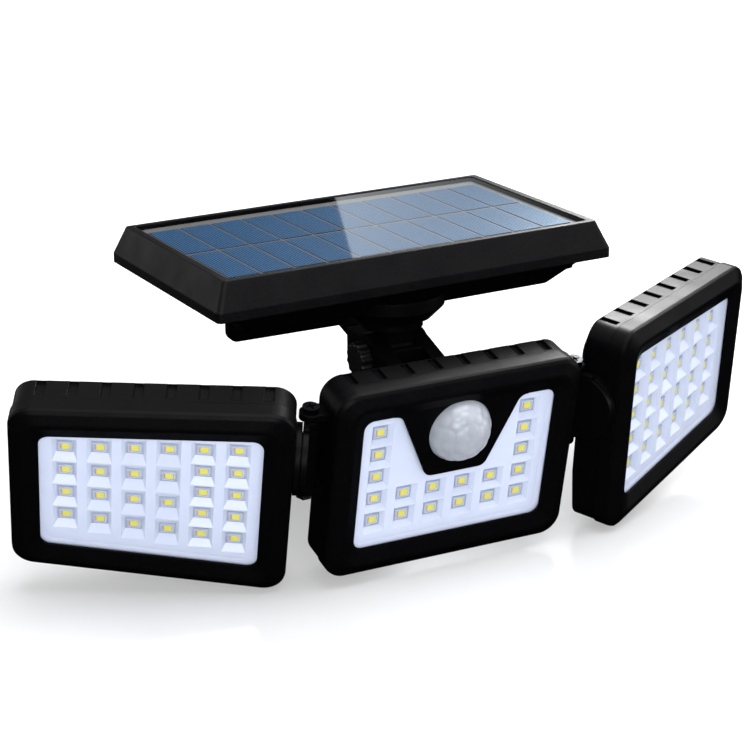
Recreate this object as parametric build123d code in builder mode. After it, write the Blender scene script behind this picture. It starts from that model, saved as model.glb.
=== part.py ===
from build123d import *
from math import atan2, cos, degrees, radians, sin, sqrt
import os

os.makedirs("parts", exist_ok=True)

# Three-head solar wall light with a motion sensor. Millimetres.
# Origin: middle of the wall plate's back face. X runs along the wall, -Y points away from it, +Z is up.

# Fits that several pieces share
SEAM = 0.15
SLIP = 0.3
PIN_FIT = 0.05
SHELL = 2.4

# Heads: every depth is measured back from the plane of the window's edge
HEAD_WIDTH = 102.0
CENTRE_HEIGHT = 79.6
SIDE_INNER_HEIGHT = 88.4
SIDE_OUTER_HEIGHT = 75.8
HEAD_CORNER = 8.6
WINDOW_BORDER_SIDE = 11.0
WINDOW_BORDER_TOP = 11.8
WINDOW_CORNER = 4.0
RIM_PROUD = 2.2
RIM_INSET = 5.0
RIM_FLAT = 1.3
RIM_CORNER = 6.5
RIM_ROUND = 1.5
SHOULDER_LOW = 2.0
SHOULDER_MIDDLE = 0.7
SHOULDER_MIDDLE_INSET = 0.35
SHOULDER_TOP = -0.2
SHOULDER_TOP_INSET = 1.3
WINDOW_LIP = 0.5
PARTING = 7.5
WALL_END = 17.3
HEAD_BACK = 23.0
BACK_INSET = 9.0
SLOT_PITCH = 11.6
SLOT_WIDTH = 3.4
SLOT_COUNT = 8
SLOT_DEEP = 1.9
SLOT_START = 1.8
SLOT_RUN = 8.0
CASING_INSET = 0.5

# Where the heads point at rest
FACE_OUT = 142.0
FACE_DROP = 29.0
CENTRE_TILT = 11.9
LEFT_YAW = 26.3
LEFT_ROLL = 10.8
RIGHT_YAW = 28.9
RIGHT_ROLL = -3.6

# Lens, reflector and lamps
LENS_MARGIN = 1.7
LENS_THICK = 0.8
REFLECTOR_RIM = 1.5
REFLECTOR_RIM_MARGIN = 0.5
REFLECTOR_RIM_SLOPE = 1.8
REFLECTOR_FRONT = 2.2
REFLECTOR_BACK = 4.4
BOARD_FRONT = 4.7
BOARD_THICK = 1.2
LAMP_PITCH = 12.4
LAMP_TOP_MARGIN = 8.3
LAMP_INNER_MARGIN = 9.2
LAMP_OUTER_MARGIN = 13.0
LAMP_LAST = 5
LAMP_LONG = 5.6
LAMP_SHORT = 4.8
LAMP_THICK = 0.7
WELL_WIDTH = 8.9
WELL_RIB = 0.5
WELL_FLOOR_WIDTH = 6.2
WELL_FLOOR_HEIGHT = 5.4

# Screws that close the heads
CASE_SCREW_INSET = 5.9
CASE_SCREW_RADIUS = 1.25
CASE_SCREW_HEAD_RADIUS = 2.5
CASE_SCREW_HEAD = 1.8
CASE_SCREW_SEAT = 12.0
CASE_POST_RADIUS = 3.0

# Groove in the casing's front edge that holds the gasket
GROOVE_INSET = 1.0
GROOVE_WIDTH = 1.0
GROOVE_DEEP = 1.0

# Motion sensor
DOME_RADIUS = 12.8
DOME_RISE = 10.0
DOME_UP = 17.5
DOME_SHELL = 1.0
TONGUE_TOP = 25.0
TONGUE_FOOT = 12.3
TONGUE_END = -0.6
TONGUE_PROUD = 0.6
TONGUE_CORNER = 4.0
TONGUE_SHOULDER = 3.0
TONGUE_BEVEL = 0.3
DOME_FLANGE = 1.2

# Hinges between the heads: a vertical yaw pin, then a disc joint that the side head rolls on
YAW_PIN_OUT = 4.8
YAW_PIN_BACK = 13.0
YAW_PIN_RADIUS = 1.5
KNUCKLE_RADIUS = 4.2
ROLL_AHEAD = 5.0
ROLL_BACK = 15.0
ROLL_UP = 11.0
ROLL_RADIUS = 13.5
DRUM_RADIUS = 13.0
HUB_STEP = 1.0
HUB_STEP_RADIUS = 10.0
STUB_RADIUS = 5.0
HUB_TO_WALL = 4.6
ELBOW_DISC = 2.2
EAR_THICK = 2.6
EAR_REACH = 9.4
EAR_UP = 26.0
EAR_LOW = -5.7
DRUM_BORE_END = 10.4
DRUM_POCKET_END = 15.4
DRUM_END = 17.4

# Hinge behind the centre head and hinge under the solar panel, as distances out from the wall
HEAD_HINGE_OUT = 112.0
HEAD_HINGE_UP = -3.0
PANEL_HINGE_OUT = 91.0
PANEL_HINGE_UP = 1.0
HUB_RADIUS = 10.0
FORK_RADIUS = 7.5
FORK_WIDTH = 24.0
BRIDGE_END = 75.0
STEM_WIDTH = 10.6
LUG_WIDTH = 12.0

# Wall plate
PLATE_WIDTH = 66.0
PLATE_HEIGHT = 31.0
PLATE_THICK = 4.0
PLATE_HOLE_SPACING = 48.0
PLATE_HOLE_RADIUS = 2.25

# Solar panel: heights are measured down from the frame's top face
PANEL_TILT = -1.1
PANEL_YAW = 2.3
PANEL_BEHIND = 24.8
PANEL_ABOVE = 47.2
PANEL_LENGTH = 161.0
PANEL_DEPTH = 92.0
PANEL_FLARE = 9.0
RIM_DOWN = 10.8
FRAME_DOWN = 14.5
TOP_CORNER = 1.5
RIM_CORNER_ROUND = 2.0
PANEL_CORNER = 5.0
CELL_COLUMNS = 11
CELL_ROWS = 2
CELL_LENGTH = 12.5
CELL_DEPTH = 36.3
CELL_GAP = 1.1
ROW_GAP = 1.9
GLASS_LENGTH = 154.4
GLASS_DEPTH = 87.0
TRAY_LENGTH = 158.0
TRAY_DEPTH = 90.0
TRAY_FLOOR_LENGTH = 134.0
TRAY_FLOOR_DEPTH = 78.0
TRAY_SET_BACK = 4.0
TRAY_DOWN = 26.0
SWIVEL_RADIUS = 20.5
SWIVEL_DOWN = 31.0
COLLAR_RADIUS = 12.0
COLLAR_THICK = 3.7
SPIGOT_RADIUS = 6.0
CELL_CAN_RADIUS = 9.15
CELL_CAN_LENGTH = 65.0

# Mode button behind the centre head
BUTTON_RADIUS = 4.0
BUTTON_RIGHT = 28.0
BUTTON_UP = -12.0
BUTTON_TRAVEL = 1.2

# Control board behind the centre head's lamps
CONTROL_DEPTH = 14.0
CONTROL_THICK = 1.6
CONTROL_RIGHT = 8.0
CONTROL_UP = -6.0
CONTROL_LENGTH = 58.0
CONTROL_HEIGHT = 34.0
control_posts = [
    (CONTROL_RIGHT + side * (CONTROL_LENGTH / 2 - 3), CONTROL_UP + lift * (CONTROL_HEIGHT / 2 - 3))
    for side in (-1, 1)
    for lift in (-1, 1)
]

centre_face = Plane(
    origin=(0, -FACE_OUT, -FACE_DROP),
    x_dir=(1, 0, 0),
    z_dir=(0, -cos(radians(CENTRE_TILT)), -sin(radians(CENTRE_TILT))),
)


def hinge_plane(side, yaw):
    """Plane of a side hinge: origin on the yaw pin, x to the right, y up the pin, z out of the head."""
    pin_x = side * (HEAD_WIDTH / 2 + YAW_PIN_OUT)
    return Plane(centre_face.location * Location((pin_x, 0, -YAW_PIN_BACK), (0, side * yaw, 0)))


def roll_plane(hinge, roll):
    """Plane on the roll axis, turned with the side head."""
    return Plane(hinge.location * Location((0, ROLL_UP, ROLL_AHEAD), (roll, 0, 0)))


def side_face(rolled, side):
    """Window plane of a side head."""
    across = side * (HUB_TO_WALL + HEAD_WIDTH / 2)
    return Plane(rolled.location * Location((across, -ROLL_UP, ROLL_BACK)))


def upright(face, x, depth, height=0):
    """Plane that looks up the head, for turned shapes about a vertical axis; its y runs back."""
    origin = face.from_local_coords(Vector(x, height, -depth))
    return Plane(origin=origin, x_dir=face.x_dir, z_dir=face.y_dir)


def sideways(face, x, height, depth):
    """Plane that looks to the head's right; its x runs up and its y runs out of the head."""
    origin = face.from_local_coords(Vector(x, height, -depth))
    return Plane(origin=origin, x_dir=face.y_dir, z_dir=face.x_dir)


def four_sided(plane, half_width, left_half, right_half, corner):
    """Symmetrical four-sided outline with rounded corners, taller on one side if asked."""
    with BuildSketch(plane) as shape:
        Polygon(
            (-half_width, -left_half),
            (half_width, -right_half),
            (half_width, right_half),
            (-half_width, left_half),
            align=None,
        )
        fillet(shape.vertices(), corner)
    return shape.sketch


def half_heights(left_h, right_h, side_inset, top_inset):
    """Half heights of a head outline at both ends after it is moved inwards."""
    slope = (right_h - left_h) / (2 * HEAD_WIDTH)
    drop = top_inset * sqrt(1 + slope**2)
    reach = HEAD_WIDTH / 2 - side_inset
    middle = (left_h + right_h) / 4 - drop
    return middle - slope * reach, middle + slope * reach


def head_outline(face, depth, left_h, right_h, inset, corner):
    """Head outline at a depth behind the window plane."""
    left_half, right_half = half_heights(left_h, right_h, inset, inset)
    return four_sided(face.offset(-depth), HEAD_WIDTH / 2 - inset, left_half, right_half, corner)


def head_ring(face, depth, left_h, right_h, inset, width):
    """Ring of one width that follows the head outline."""
    left_half, right_half = half_heights(left_h, right_h, inset, inset)
    reach = HEAD_WIDTH / 2 - inset
    with BuildSketch(face.offset(-depth)) as shape:
        Polygon(
            (-reach, -left_half),
            (reach, -right_half),
            (reach, right_half),
            (-reach, left_half),
            align=None,
        )
        fillet(shape.vertices(), HEAD_CORNER - inset)
        offset(amount=-width, mode=Mode.SUBTRACT)
    return shape.sketch


def window_outline(face, depth, left_h, right_h, margin):
    """Window outline at a depth, grown by margin."""
    side_inset = WINDOW_BORDER_SIDE - margin
    left_half, right_half = half_heights(left_h, right_h, side_inset, WINDOW_BORDER_TOP - margin)
    return four_sided(
        face.offset(-depth), HEAD_WIDTH / 2 - side_inset, left_half, right_half, WINDOW_CORNER
    )


def corner_points(left_h, right_h):
    """Places of the four closing screws."""
    left_half, right_half = half_heights(left_h, right_h, CASE_SCREW_INSET, CASE_SCREW_INSET)
    reach = HEAD_WIDTH / 2 - CASE_SCREW_INSET
    return [(-reach, -left_half), (reach, -right_half), (reach, right_half), (-reach, left_half)]


def top_at(left_h, right_h, x):
    """Height of the top wall above the head's middle at x."""
    return (left_h + right_h) / 4 + (right_h - left_h) / (2 * HEAD_WIDTH) * x


def lamp_rows(column, inner_side):
    """How many lamps a column has and whether they only fill the bottom of it."""
    if inner_side == 0:
        edge = column in (0, LAMP_LAST)
        return (5, 5) if edge else (5, 2)
    nearest = column if inner_side < 0 else LAMP_LAST - column
    return (5, 5) if nearest < 2 else (4, 4)


def lamp_points(left_h, right_h, inner_side):
    """Lamp centres, with the row pitch of each."""
    left_half, right_half = half_heights(left_h, right_h, WINDOW_BORDER_SIDE, WINDOW_BORDER_TOP)
    reach = HEAD_WIDTH / 2 - WINDOW_BORDER_SIDE
    points = []
    for column in range(LAMP_LAST + 1):
        x = (column - LAMP_LAST / 2) * LAMP_PITCH
        along = (x + reach) / (2 * reach)
        half = left_half * (1 - along) + right_half * along
        inner = 1.0
        if inner_side < 0:
            inner = 1 - along
        if inner_side > 0:
            inner = along
        top = half - LAMP_TOP_MARGIN
        bottom = -half + LAMP_INNER_MARGIN * inner + LAMP_OUTER_MARGIN * (1 - inner)
        rows, used = lamp_rows(column, inner_side)
        pitch = (top - bottom) / (rows - 1)
        for row in range(used):
            points.append((x, bottom + row * pitch, pitch))
    return points


def tongue_outline(face, height):
    """Outline of the sensor's mounting plate, which hangs into the window from its top edge."""
    window_top = CENTRE_HEIGHT / 2 - WINDOW_BORDER_TOP
    shoulder = TONGUE_TOP + TONGUE_SHOULDER
    with BuildSketch(face.offset(height)) as shape:
        Polygon(
            (-TONGUE_FOOT, TONGUE_END),
            (TONGUE_FOOT, TONGUE_END),
            (TONGUE_TOP, window_top),
            (shoulder, window_top),
            (shoulder, window_top + 2.5),
            (-shoulder, window_top + 2.5),
            (-shoulder, window_top),
            (-TONGUE_TOP, window_top),
            align=None,
        )
        rounded = shape.vertices().filter_by(
            lambda point: abs(face.to_local_coords(point).X) < TONGUE_TOP + 0.1
        )
        fillet(rounded, TONGUE_CORNER)
    return shape.sketch


def build_bezel(prefix, face, left_h, right_h):
    """Front frame of a head: sloped rim, window opening, side wall and screw posts."""
    with BuildPart() as bezel:
        extrude(
            head_outline(face, PARTING, left_h, right_h, 0, HEAD_CORNER),
            amount=PARTING - SHOULDER_LOW,
        )
        steps = [
            (SHOULDER_LOW, 0, HEAD_CORNER),
            (SHOULDER_MIDDLE, SHOULDER_MIDDLE_INSET, HEAD_CORNER - SHOULDER_MIDDLE_INSET),
            (SHOULDER_TOP, SHOULDER_TOP_INSET, HEAD_CORNER - SHOULDER_TOP_INSET / 2),
            (-RIM_PROUD, RIM_INSET, RIM_CORNER),
        ]
        for lower, upper in zip(steps, steps[1:]):
            loft(
                [
                    head_outline(face, lower[0], left_h, right_h, lower[1], lower[2]),
                    head_outline(face, upper[0], left_h, right_h, upper[1], upper[2]),
                ]
            )
        loft(
            [
                head_outline(face, -RIM_PROUD, left_h, right_h, RIM_INSET + RIM_FLAT, RIM_CORNER - 1),
                window_outline(face, 0, left_h, right_h, 0),
            ],
            mode=Mode.SUBTRACT,
        )
        extrude(
            window_outline(face, 0, left_h, right_h, 0), amount=-PARTING, mode=Mode.SUBTRACT
        )
        extrude(
            head_outline(face, WINDOW_LIP, left_h, right_h, SHELL, HEAD_CORNER - SHELL),
            amount=WINDOW_LIP - PARTING,
            mode=Mode.SUBTRACT,
        )
        with BuildSketch(face.offset(-PARTING)):
            with Locations(*corner_points(left_h, right_h)):
                Circle(CASE_POST_RADIUS)
        extrude(amount=PARTING - WINDOW_LIP)
        with BuildSketch(face.offset(-PARTING)):
            with Locations(*corner_points(left_h, right_h)):
                Circle(CASE_SCREW_RADIUS + PIN_FIT)
        extrude(amount=PARTING - WINDOW_LIP - 1, mode=Mode.SUBTRACT)
        if prefix == "centre":
            tongue = tongue_outline(face, TONGUE_PROUD - TONGUE_BEVEL)
            extrude(tongue, amount=TONGUE_BEVEL - TONGUE_PROUD - WINDOW_LIP)
            extrude(tongue, amount=TONGUE_BEVEL, taper=45)
            with BuildSketch(face.offset(TONGUE_PROUD + 5)):
                with Locations((0, DOME_UP)):
                    Circle(DOME_RADIUS + 0.15)
            extrude(amount=-TONGUE_PROUD - 5 - WINDOW_LIP, mode=Mode.SUBTRACT)
        rim_edges = bezel.edges().filter_by(
            lambda edge: abs(face.to_local_coords(edge.center()).Z - RIM_PROUD) < 0.01
        )
        fillet(rim_edges, RIM_ROUND)
    bezel.part.label = prefix + "_bezel"
    export_step(bezel.part, "parts/" + prefix + "_bezel.step")


def build_lens(prefix, face, left_h, right_h):
    """Clear cover that sits behind the window lip."""
    with BuildPart() as lens:
        extrude(
            window_outline(face, WINDOW_LIP + 0.1, left_h, right_h, LENS_MARGIN), amount=-LENS_THICK
        )
        if prefix == "centre":
            with BuildSketch(face):
                with Locations((0, DOME_UP)):
                    Circle(DOME_RADIUS + DOME_FLANGE + 0.3)
            extrude(amount=-PARTING, mode=Mode.SUBTRACT)
    lens.part.label = prefix + "_lens"
    export_step(lens.part, "parts/" + prefix + "_lens.step")


def build_reflector(prefix, face, left_h, right_h, inner_side):
    """White plate with one pyramid-shaped well for each lamp."""
    with BuildPart() as reflector:
        extrude(
            window_outline(face, REFLECTOR_BACK, left_h, right_h, 1.2),
            amount=REFLECTOR_BACK - REFLECTOR_RIM,
        )
        loft(
            [
                window_outline(face, REFLECTOR_RIM, left_h, right_h, REFLECTOR_RIM_MARGIN),
                window_outline(
                    face, REFLECTOR_FRONT, left_h, right_h, REFLECTOR_RIM_MARGIN - REFLECTOR_RIM_SLOPE
                ),
            ],
            mode=Mode.SUBTRACT,
        )
        for x, height, pitch in lamp_points(left_h, right_h, inner_side):
            with BuildSketch(face.offset(-REFLECTOR_FRONT)) as mouth:
                with Locations((x, height)):
                    Rectangle(WELL_WIDTH, pitch - WELL_RIB)
            with BuildSketch(face.offset(-REFLECTOR_BACK)) as floor:
                with Locations((x, height)):
                    Rectangle(WELL_FLOOR_WIDTH, WELL_FLOOR_HEIGHT)
            loft(mode=Mode.SUBTRACT)
        if prefix == "centre":
            with BuildSketch(face):
                with Locations((0, DOME_UP)):
                    Circle(DOME_RADIUS + DOME_FLANGE + 0.4)
            extrude(amount=-REFLECTOR_FRONT + 0.05, mode=Mode.SUBTRACT)
            with BuildSketch(face):
                with Locations((0, DOME_UP)):
                    Circle(6)
            extrude(amount=-PARTING, mode=Mode.SUBTRACT)
    reflector.part.label = prefix + "_reflector"
    export_step(reflector.part, "parts/" + prefix + "_reflector.step")


def build_lamps(prefix, face, left_h, right_h, inner_side):
    """Lamp board and the lamps soldered on it."""
    with BuildPart() as board:
        extrude(
            window_outline(face, BOARD_FRONT, left_h, right_h, 1.2), amount=-BOARD_THICK
        )
    board.part.label = prefix + "_lamp_board"
    export_step(board.part, "parts/" + prefix + "_lamp_board.step")
    places = [(x, height) for x, height, pitch in lamp_points(left_h, right_h, inner_side)]
    with BuildPart() as lamps:
        with BuildSketch(face.offset(-BOARD_FRONT)):
            with Locations(*places):
                Rectangle(LAMP_LONG, LAMP_SHORT)
        extrude(amount=LAMP_THICK)
    lamps.part.label = prefix + "_lamps"
    export_step(lamps.part, "parts/" + prefix + "_lamps.step")


def build_gasket(prefix, face, left_h, right_h):
    """Rubber ring in the groove between bezel and casing."""
    with BuildPart() as gasket:
        extrude(
            head_ring(face, PARTING + SEAM, left_h, right_h, GROOVE_INSET + 0.1, GROOVE_WIDTH - 0.2),
            amount=-GROOVE_DEEP + 0.1,
        )
    gasket.part.label = prefix + "_gasket"
    export_step(gasket.part, "parts/" + prefix + "_gasket.step")


def build_casing(prefix, face, left_h, right_h, inner_side):
    """Rear half of a head, with its cooling slots, screw wells and hinge parts."""
    front = PARTING + SEAM
    inner = SHELL + CASING_INSET
    with BuildPart() as casing:
        extrude(
            head_outline(face, WALL_END, left_h, right_h, CASING_INSET, HEAD_CORNER - CASING_INSET),
            amount=WALL_END - front,
        )
        loft(
            [
                head_outline(face, WALL_END, left_h, right_h, CASING_INSET, HEAD_CORNER - CASING_INSET),
                head_outline(face, HEAD_BACK, left_h, right_h, BACK_INSET, HEAD_CORNER),
            ]
        )
        back_edges = casing.edges().filter_by(
            lambda edge: abs(face.to_local_coords(edge.center()).Z + HEAD_BACK) < 0.01
        )
        fillet(back_edges, 3)
        if inner_side != 0:
            reach = inner_side * HEAD_WIDTH / 2
            drum = sideways(face, reach, ROLL_UP, ROLL_BACK)
            with BuildSketch(drum.offset(inner_side * 0.1)):
                Circle(DRUM_RADIUS)
                with Locations((0, ROLL_BACK - front + 10)):
                    Rectangle(40, 20, mode=Mode.SUBTRACT)
            extrude(amount=-inner_side * (DRUM_END - HUB_TO_WALL + 0.1))
        extrude(
            head_outline(face, front, left_h, right_h, inner, HEAD_CORNER - inner),
            amount=front - WALL_END + 0.8,
            mode=Mode.SUBTRACT,
        )
        loft(
            [
                head_outline(face, WALL_END - 0.8, left_h, right_h, inner, HEAD_CORNER - inner),
                head_outline(face, HEAD_BACK - SHELL, left_h, right_h, BACK_INSET + 1, HEAD_CORNER - SHELL),
            ],
            mode=Mode.SUBTRACT,
        )
        with BuildSketch(face.offset(-front)):
            with Locations(*corner_points(left_h, right_h)):
                Circle(CASE_POST_RADIUS + 0.8)
        extrude(amount=front - CASE_SCREW_SEAT - 4)
        with BuildSketch(face.offset(-front)):
            with Locations(*corner_points(left_h, right_h)):
                Circle(CASE_SCREW_RADIUS + 0.15)
        extrude(amount=front - HEAD_BACK, mode=Mode.SUBTRACT)
        with BuildSketch(face.offset(-CASE_SCREW_SEAT)):
            with Locations(*corner_points(left_h, right_h)):
                Circle(CASE_SCREW_HEAD_RADIUS + 0.3)
        extrude(amount=CASE_SCREW_SEAT - HEAD_BACK, mode=Mode.SUBTRACT)
        extrude(
            head_ring(face, front, left_h, right_h, GROOVE_INSET, GROOVE_WIDTH),
            amount=-GROOVE_DEEP,
            mode=Mode.SUBTRACT,
        )
        for number in range(SLOT_COUNT):
            x = (number - (SLOT_COUNT - 1) / 2) * SLOT_PITCH
            edge = top_at(left_h, right_h, x)
            with BuildSketch(face.offset(-front - SLOT_START)):
                with Locations((x, edge), (x, -edge)):
                    Rectangle(SLOT_WIDTH, 2 * SLOT_DEEP)
            extrude(amount=-SLOT_RUN, mode=Mode.SUBTRACT)
        if inner_side != 0:
            with BuildSketch(drum.offset(inner_side)):
                Circle(STUB_RADIUS + PIN_FIT)
            extrude(amount=-inner_side * (DRUM_END - HUB_TO_WALL + 2), mode=Mode.SUBTRACT)
            with BuildSketch(drum.offset(-inner_side * (DRUM_BORE_END - HUB_TO_WALL))):
                Circle(8)
            extrude(amount=-inner_side * (DRUM_POCKET_END - DRUM_BORE_END), mode=Mode.SUBTRACT)
            with BuildSketch(drum.offset(inner_side * 0.1)):
                Circle(ROLL_RADIUS)
                Circle(STUB_RADIUS + PIN_FIT, mode=Mode.SUBTRACT)
            extrude(amount=inner_side * (ELBOW_DISC - 0.1))
            with BuildSketch(drum.offset(inner_side * ELBOW_DISC)):
                Circle(HUB_STEP_RADIUS + SLIP)
            extrude(amount=-inner_side * HUB_STEP, mode=Mode.SUBTRACT)
        if prefix == "centre":
            for side in (-1, 1):
                for foot in (EAR_UP, EAR_LOW):
                    ear = upright(face, side * (HEAD_WIDTH / 2 + YAW_PIN_OUT), YAW_PIN_BACK, foot)
                    with BuildSketch(ear):
                        Circle(KNUCKLE_RADIUS)
                        with Locations((-side * EAR_REACH / 2, 0)):
                            Rectangle(EAR_REACH, 2 * KNUCKLE_RADIUS)
                        Circle(YAW_PIN_RADIUS + PIN_FIT, mode=Mode.SUBTRACT)
                    extrude(amount=EAR_THICK)
            lug = sideways(face, 0, head_hinge.Y, -head_hinge.Z)
            with BuildSketch(lug):
                Polygon(
                    (-FORK_RADIUS + 0.3, 0),
                    (FORK_RADIUS - 0.3, 0),
                    (9.5, -head_hinge.Z - HEAD_BACK + 0.8),
                    (-13, -head_hinge.Z - HEAD_BACK + 0.8),
                    align=None,
                )
                Circle(FORK_RADIUS - 0.3)
                Circle(HEAD_BOLT_RADIUS + PIN_FIT, mode=Mode.SUBTRACT)
            extrude(amount=LUG_WIDTH / 2, both=True)
            with BuildSketch(face.offset(-CONTROL_DEPTH - CONTROL_THICK)):
                with Locations(*control_posts):
                    Circle(2)
            extrude(amount=CONTROL_DEPTH + CONTROL_THICK - HEAD_BACK + SHELL / 2)
            with BuildSketch(face.offset(-HEAD_BACK - 1)):
                with Locations((BUTTON_RIGHT, BUTTON_UP)):
                    Circle(BUTTON_RADIUS + 0.3)
            extrude(amount=6, mode=Mode.SUBTRACT)
    casing.part.label = prefix + "_casing"
    export_step(casing.part, "parts/" + prefix + "_casing.step")


def build_case_screws(prefix, face, left_h, right_h):
    """Four screws that draw the casing onto the bezel."""
    with BuildPart() as screws:
        with BuildSketch(face.offset(-CASE_SCREW_SEAT)):
            with Locations(*corner_points(left_h, right_h)):
                Circle(CASE_SCREW_RADIUS)
        extrude(amount=CASE_SCREW_SEAT - WINDOW_LIP - 1.5)
        with BuildSketch(face.offset(-CASE_SCREW_SEAT)):
            with Locations(*corner_points(left_h, right_h)):
                Circle(CASE_SCREW_HEAD_RADIUS)
        extrude(amount=-CASE_SCREW_HEAD)
        with BuildSketch(face.offset(-CASE_SCREW_SEAT - CASE_SCREW_HEAD)):
            with Locations(*corner_points(left_h, right_h)):
                Rectangle(3.2, 0.7)
                Rectangle(0.7, 3.2)
        extrude(amount=1, mode=Mode.SUBTRACT)
    screws.part.label = prefix + "_case_screws"
    export_step(screws.part, "parts/" + prefix + "_case_screws.step")


def build_head(prefix, face, left_h, right_h, inner_side):
    """All pieces that the three heads have in common."""
    build_bezel(prefix, face, left_h, right_h)
    build_lens(prefix, face, left_h, right_h)
    build_reflector(prefix, face, left_h, right_h, inner_side)
    build_lamps(prefix, face, left_h, right_h, inner_side)
    build_gasket(prefix, face, left_h, right_h)
    build_casing(prefix, face, left_h, right_h, inner_side)
    build_case_screws(prefix, face, left_h, right_h)


# Wall bracket: plate, arched arm, two cheeks for the panel stem and a fork for the centre head
PANEL_BOLT_RADIUS = 2.5
HEAD_BOLT_RADIUS = 2.0
head_hinge_point = Vector(0, -HEAD_HINGE_OUT, HEAD_HINGE_UP)
head_hinge = centre_face.to_local_coords(head_hinge_point)
panel_hinge_point = Vector(0, -PANEL_HINGE_OUT, PANEL_HINGE_UP)
ARM_WIDTH = 12.0
ARM_ROOT_LOW = -12.0
ARM_ROOT_HIGH = 2.5
ARM_CREST_OUT = 50.0
ARM_CREST_LOW = 4.0
ARM_CREST_HIGH = 10.6
ARM_END_OUT = 78.0
ARM_END_LOW = -2.5
ARM_END_HIGH = 9.0
GUSSET_REACH = 24.0
GUSSET_OUT = 20.0
GUSSET_THICK = 4.0
with BuildPart() as wall_bracket:
    with BuildSketch(Plane.XZ):
        RectangleRounded(PLATE_WIDTH, PLATE_HEIGHT, 4)
    extrude(amount=PLATE_THICK)
    with BuildSketch(Plane.YZ):
        Polygon(
            (-PLATE_THICK, ARM_ROOT_LOW),
            (-ARM_CREST_OUT - 2, ARM_CREST_LOW),
            (-ARM_END_OUT, ARM_END_LOW),
            (-ARM_END_OUT, ARM_END_HIGH),
            (-ARM_CREST_OUT, ARM_CREST_HIGH),
            (-PLATE_THICK, ARM_ROOT_HIGH),
            align=None,
        )
    extrude(amount=ARM_WIDTH / 2, both=True)
    with BuildSketch(Plane.XY.offset(-GUSSET_THICK)):
        Polygon(
            (-GUSSET_REACH, -PLATE_THICK),
            (GUSSET_REACH, -PLATE_THICK),
            (ARM_WIDTH / 2, -PLATE_THICK - GUSSET_OUT),
            (-ARM_WIDTH / 2, -PLATE_THICK - GUSSET_OUT),
            align=None,
        )
    extrude(amount=GUSSET_THICK)
    with BuildSketch(Plane.YZ):
        Polygon(
            (-PANEL_HINGE_OUT, PANEL_HINGE_UP + HUB_RADIUS),
            (-PANEL_HINGE_OUT, PANEL_HINGE_UP - HUB_RADIUS),
            (-PANEL_HINGE_OUT + 7, PANEL_HINGE_UP - 8.5),
            (-BRIDGE_END, -2.5),
            (-BRIDGE_END, 9.2),
            (-PANEL_HINGE_OUT + 7, PANEL_HINGE_UP + 8.0),
            align=None,
        )
        Polygon(
            (-HEAD_HINGE_OUT, HEAD_HINGE_UP + FORK_RADIUS),
            (-HEAD_HINGE_OUT, HEAD_HINGE_UP - FORK_RADIUS),
            (-PANEL_HINGE_OUT, PANEL_HINGE_UP - HUB_RADIUS),
            (-PANEL_HINGE_OUT, PANEL_HINGE_UP + HUB_RADIUS),
            align=None,
        )
        with Locations((-PANEL_HINGE_OUT, PANEL_HINGE_UP)):
            Circle(HUB_RADIUS)
        with Locations((-HEAD_HINGE_OUT, HEAD_HINGE_UP)):
            Circle(FORK_RADIUS)
    extrude(amount=FORK_WIDTH / 2, both=True)
    with BuildSketch(Plane.YZ):
        with Locations((-PANEL_HINGE_OUT, PANEL_HINGE_UP + 2)):
            Rectangle(2 * HUB_RADIUS + 1.4, 40)
    extrude(amount=STEM_WIDTH / 2 + SLIP, both=True, mode=Mode.SUBTRACT)
    with BuildSketch(Plane.YZ):
        with Locations((-HEAD_HINGE_OUT - 4, HEAD_HINGE_UP)):
            Rectangle(2 * FORK_RADIUS + 8.6, 40)
    extrude(amount=LUG_WIDTH / 2 + SLIP, both=True, mode=Mode.SUBTRACT)
    with BuildSketch(Plane.YZ):
        with Locations((-PANEL_HINGE_OUT, PANEL_HINGE_UP)):
            Circle(PANEL_BOLT_RADIUS + PIN_FIT)
        with Locations((-HEAD_HINGE_OUT, HEAD_HINGE_UP)):
            Circle(HEAD_BOLT_RADIUS + PIN_FIT)
    extrude(amount=FORK_WIDTH, both=True, mode=Mode.SUBTRACT)
    with BuildSketch(Plane.XZ):
        with Locations((-PLATE_HOLE_SPACING / 2, 0), (PLATE_HOLE_SPACING / 2, 0)):
            Circle(PLATE_HOLE_RADIUS)
    extrude(amount=PLATE_THICK, mode=Mode.SUBTRACT)
wall_bracket.part.label = "wall_bracket"
export_step(wall_bracket.part, "parts/wall_bracket.step")

# Knob bolt and nut of the panel hinge
KNOB_RADIUS = 7.2
KNOB_THICK = 4.6
panel_hinge_left = Plane(origin=panel_hinge_point, x_dir=(0, 1, 0), z_dir=(1, 0, 0)).offset(-FORK_WIDTH / 2)
with BuildPart() as panel_hinge_bolt:
    with BuildSketch(panel_hinge_left):
        Circle(PANEL_BOLT_RADIUS)
    extrude(amount=FORK_WIDTH + 5.5)
    with BuildSketch(panel_hinge_left.offset(-SEAM)):
        Circle(KNOB_RADIUS)
        with PolarLocations(KNOB_RADIUS + 0.9, 12):
            Circle(1.6, mode=Mode.SUBTRACT)
    extrude(amount=-KNOB_THICK)
    with BuildSketch(panel_hinge_left.offset(-SEAM)):
        Circle(PANEL_BOLT_RADIUS)
    extrude(amount=SEAM)
    fillet(panel_hinge_bolt.faces().sort_by(Axis.X)[0].edges(), 0.7)
panel_hinge_bolt.part.label = "panel_hinge_bolt"
export_step(panel_hinge_bolt.part, "parts/panel_hinge_bolt.step")

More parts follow.
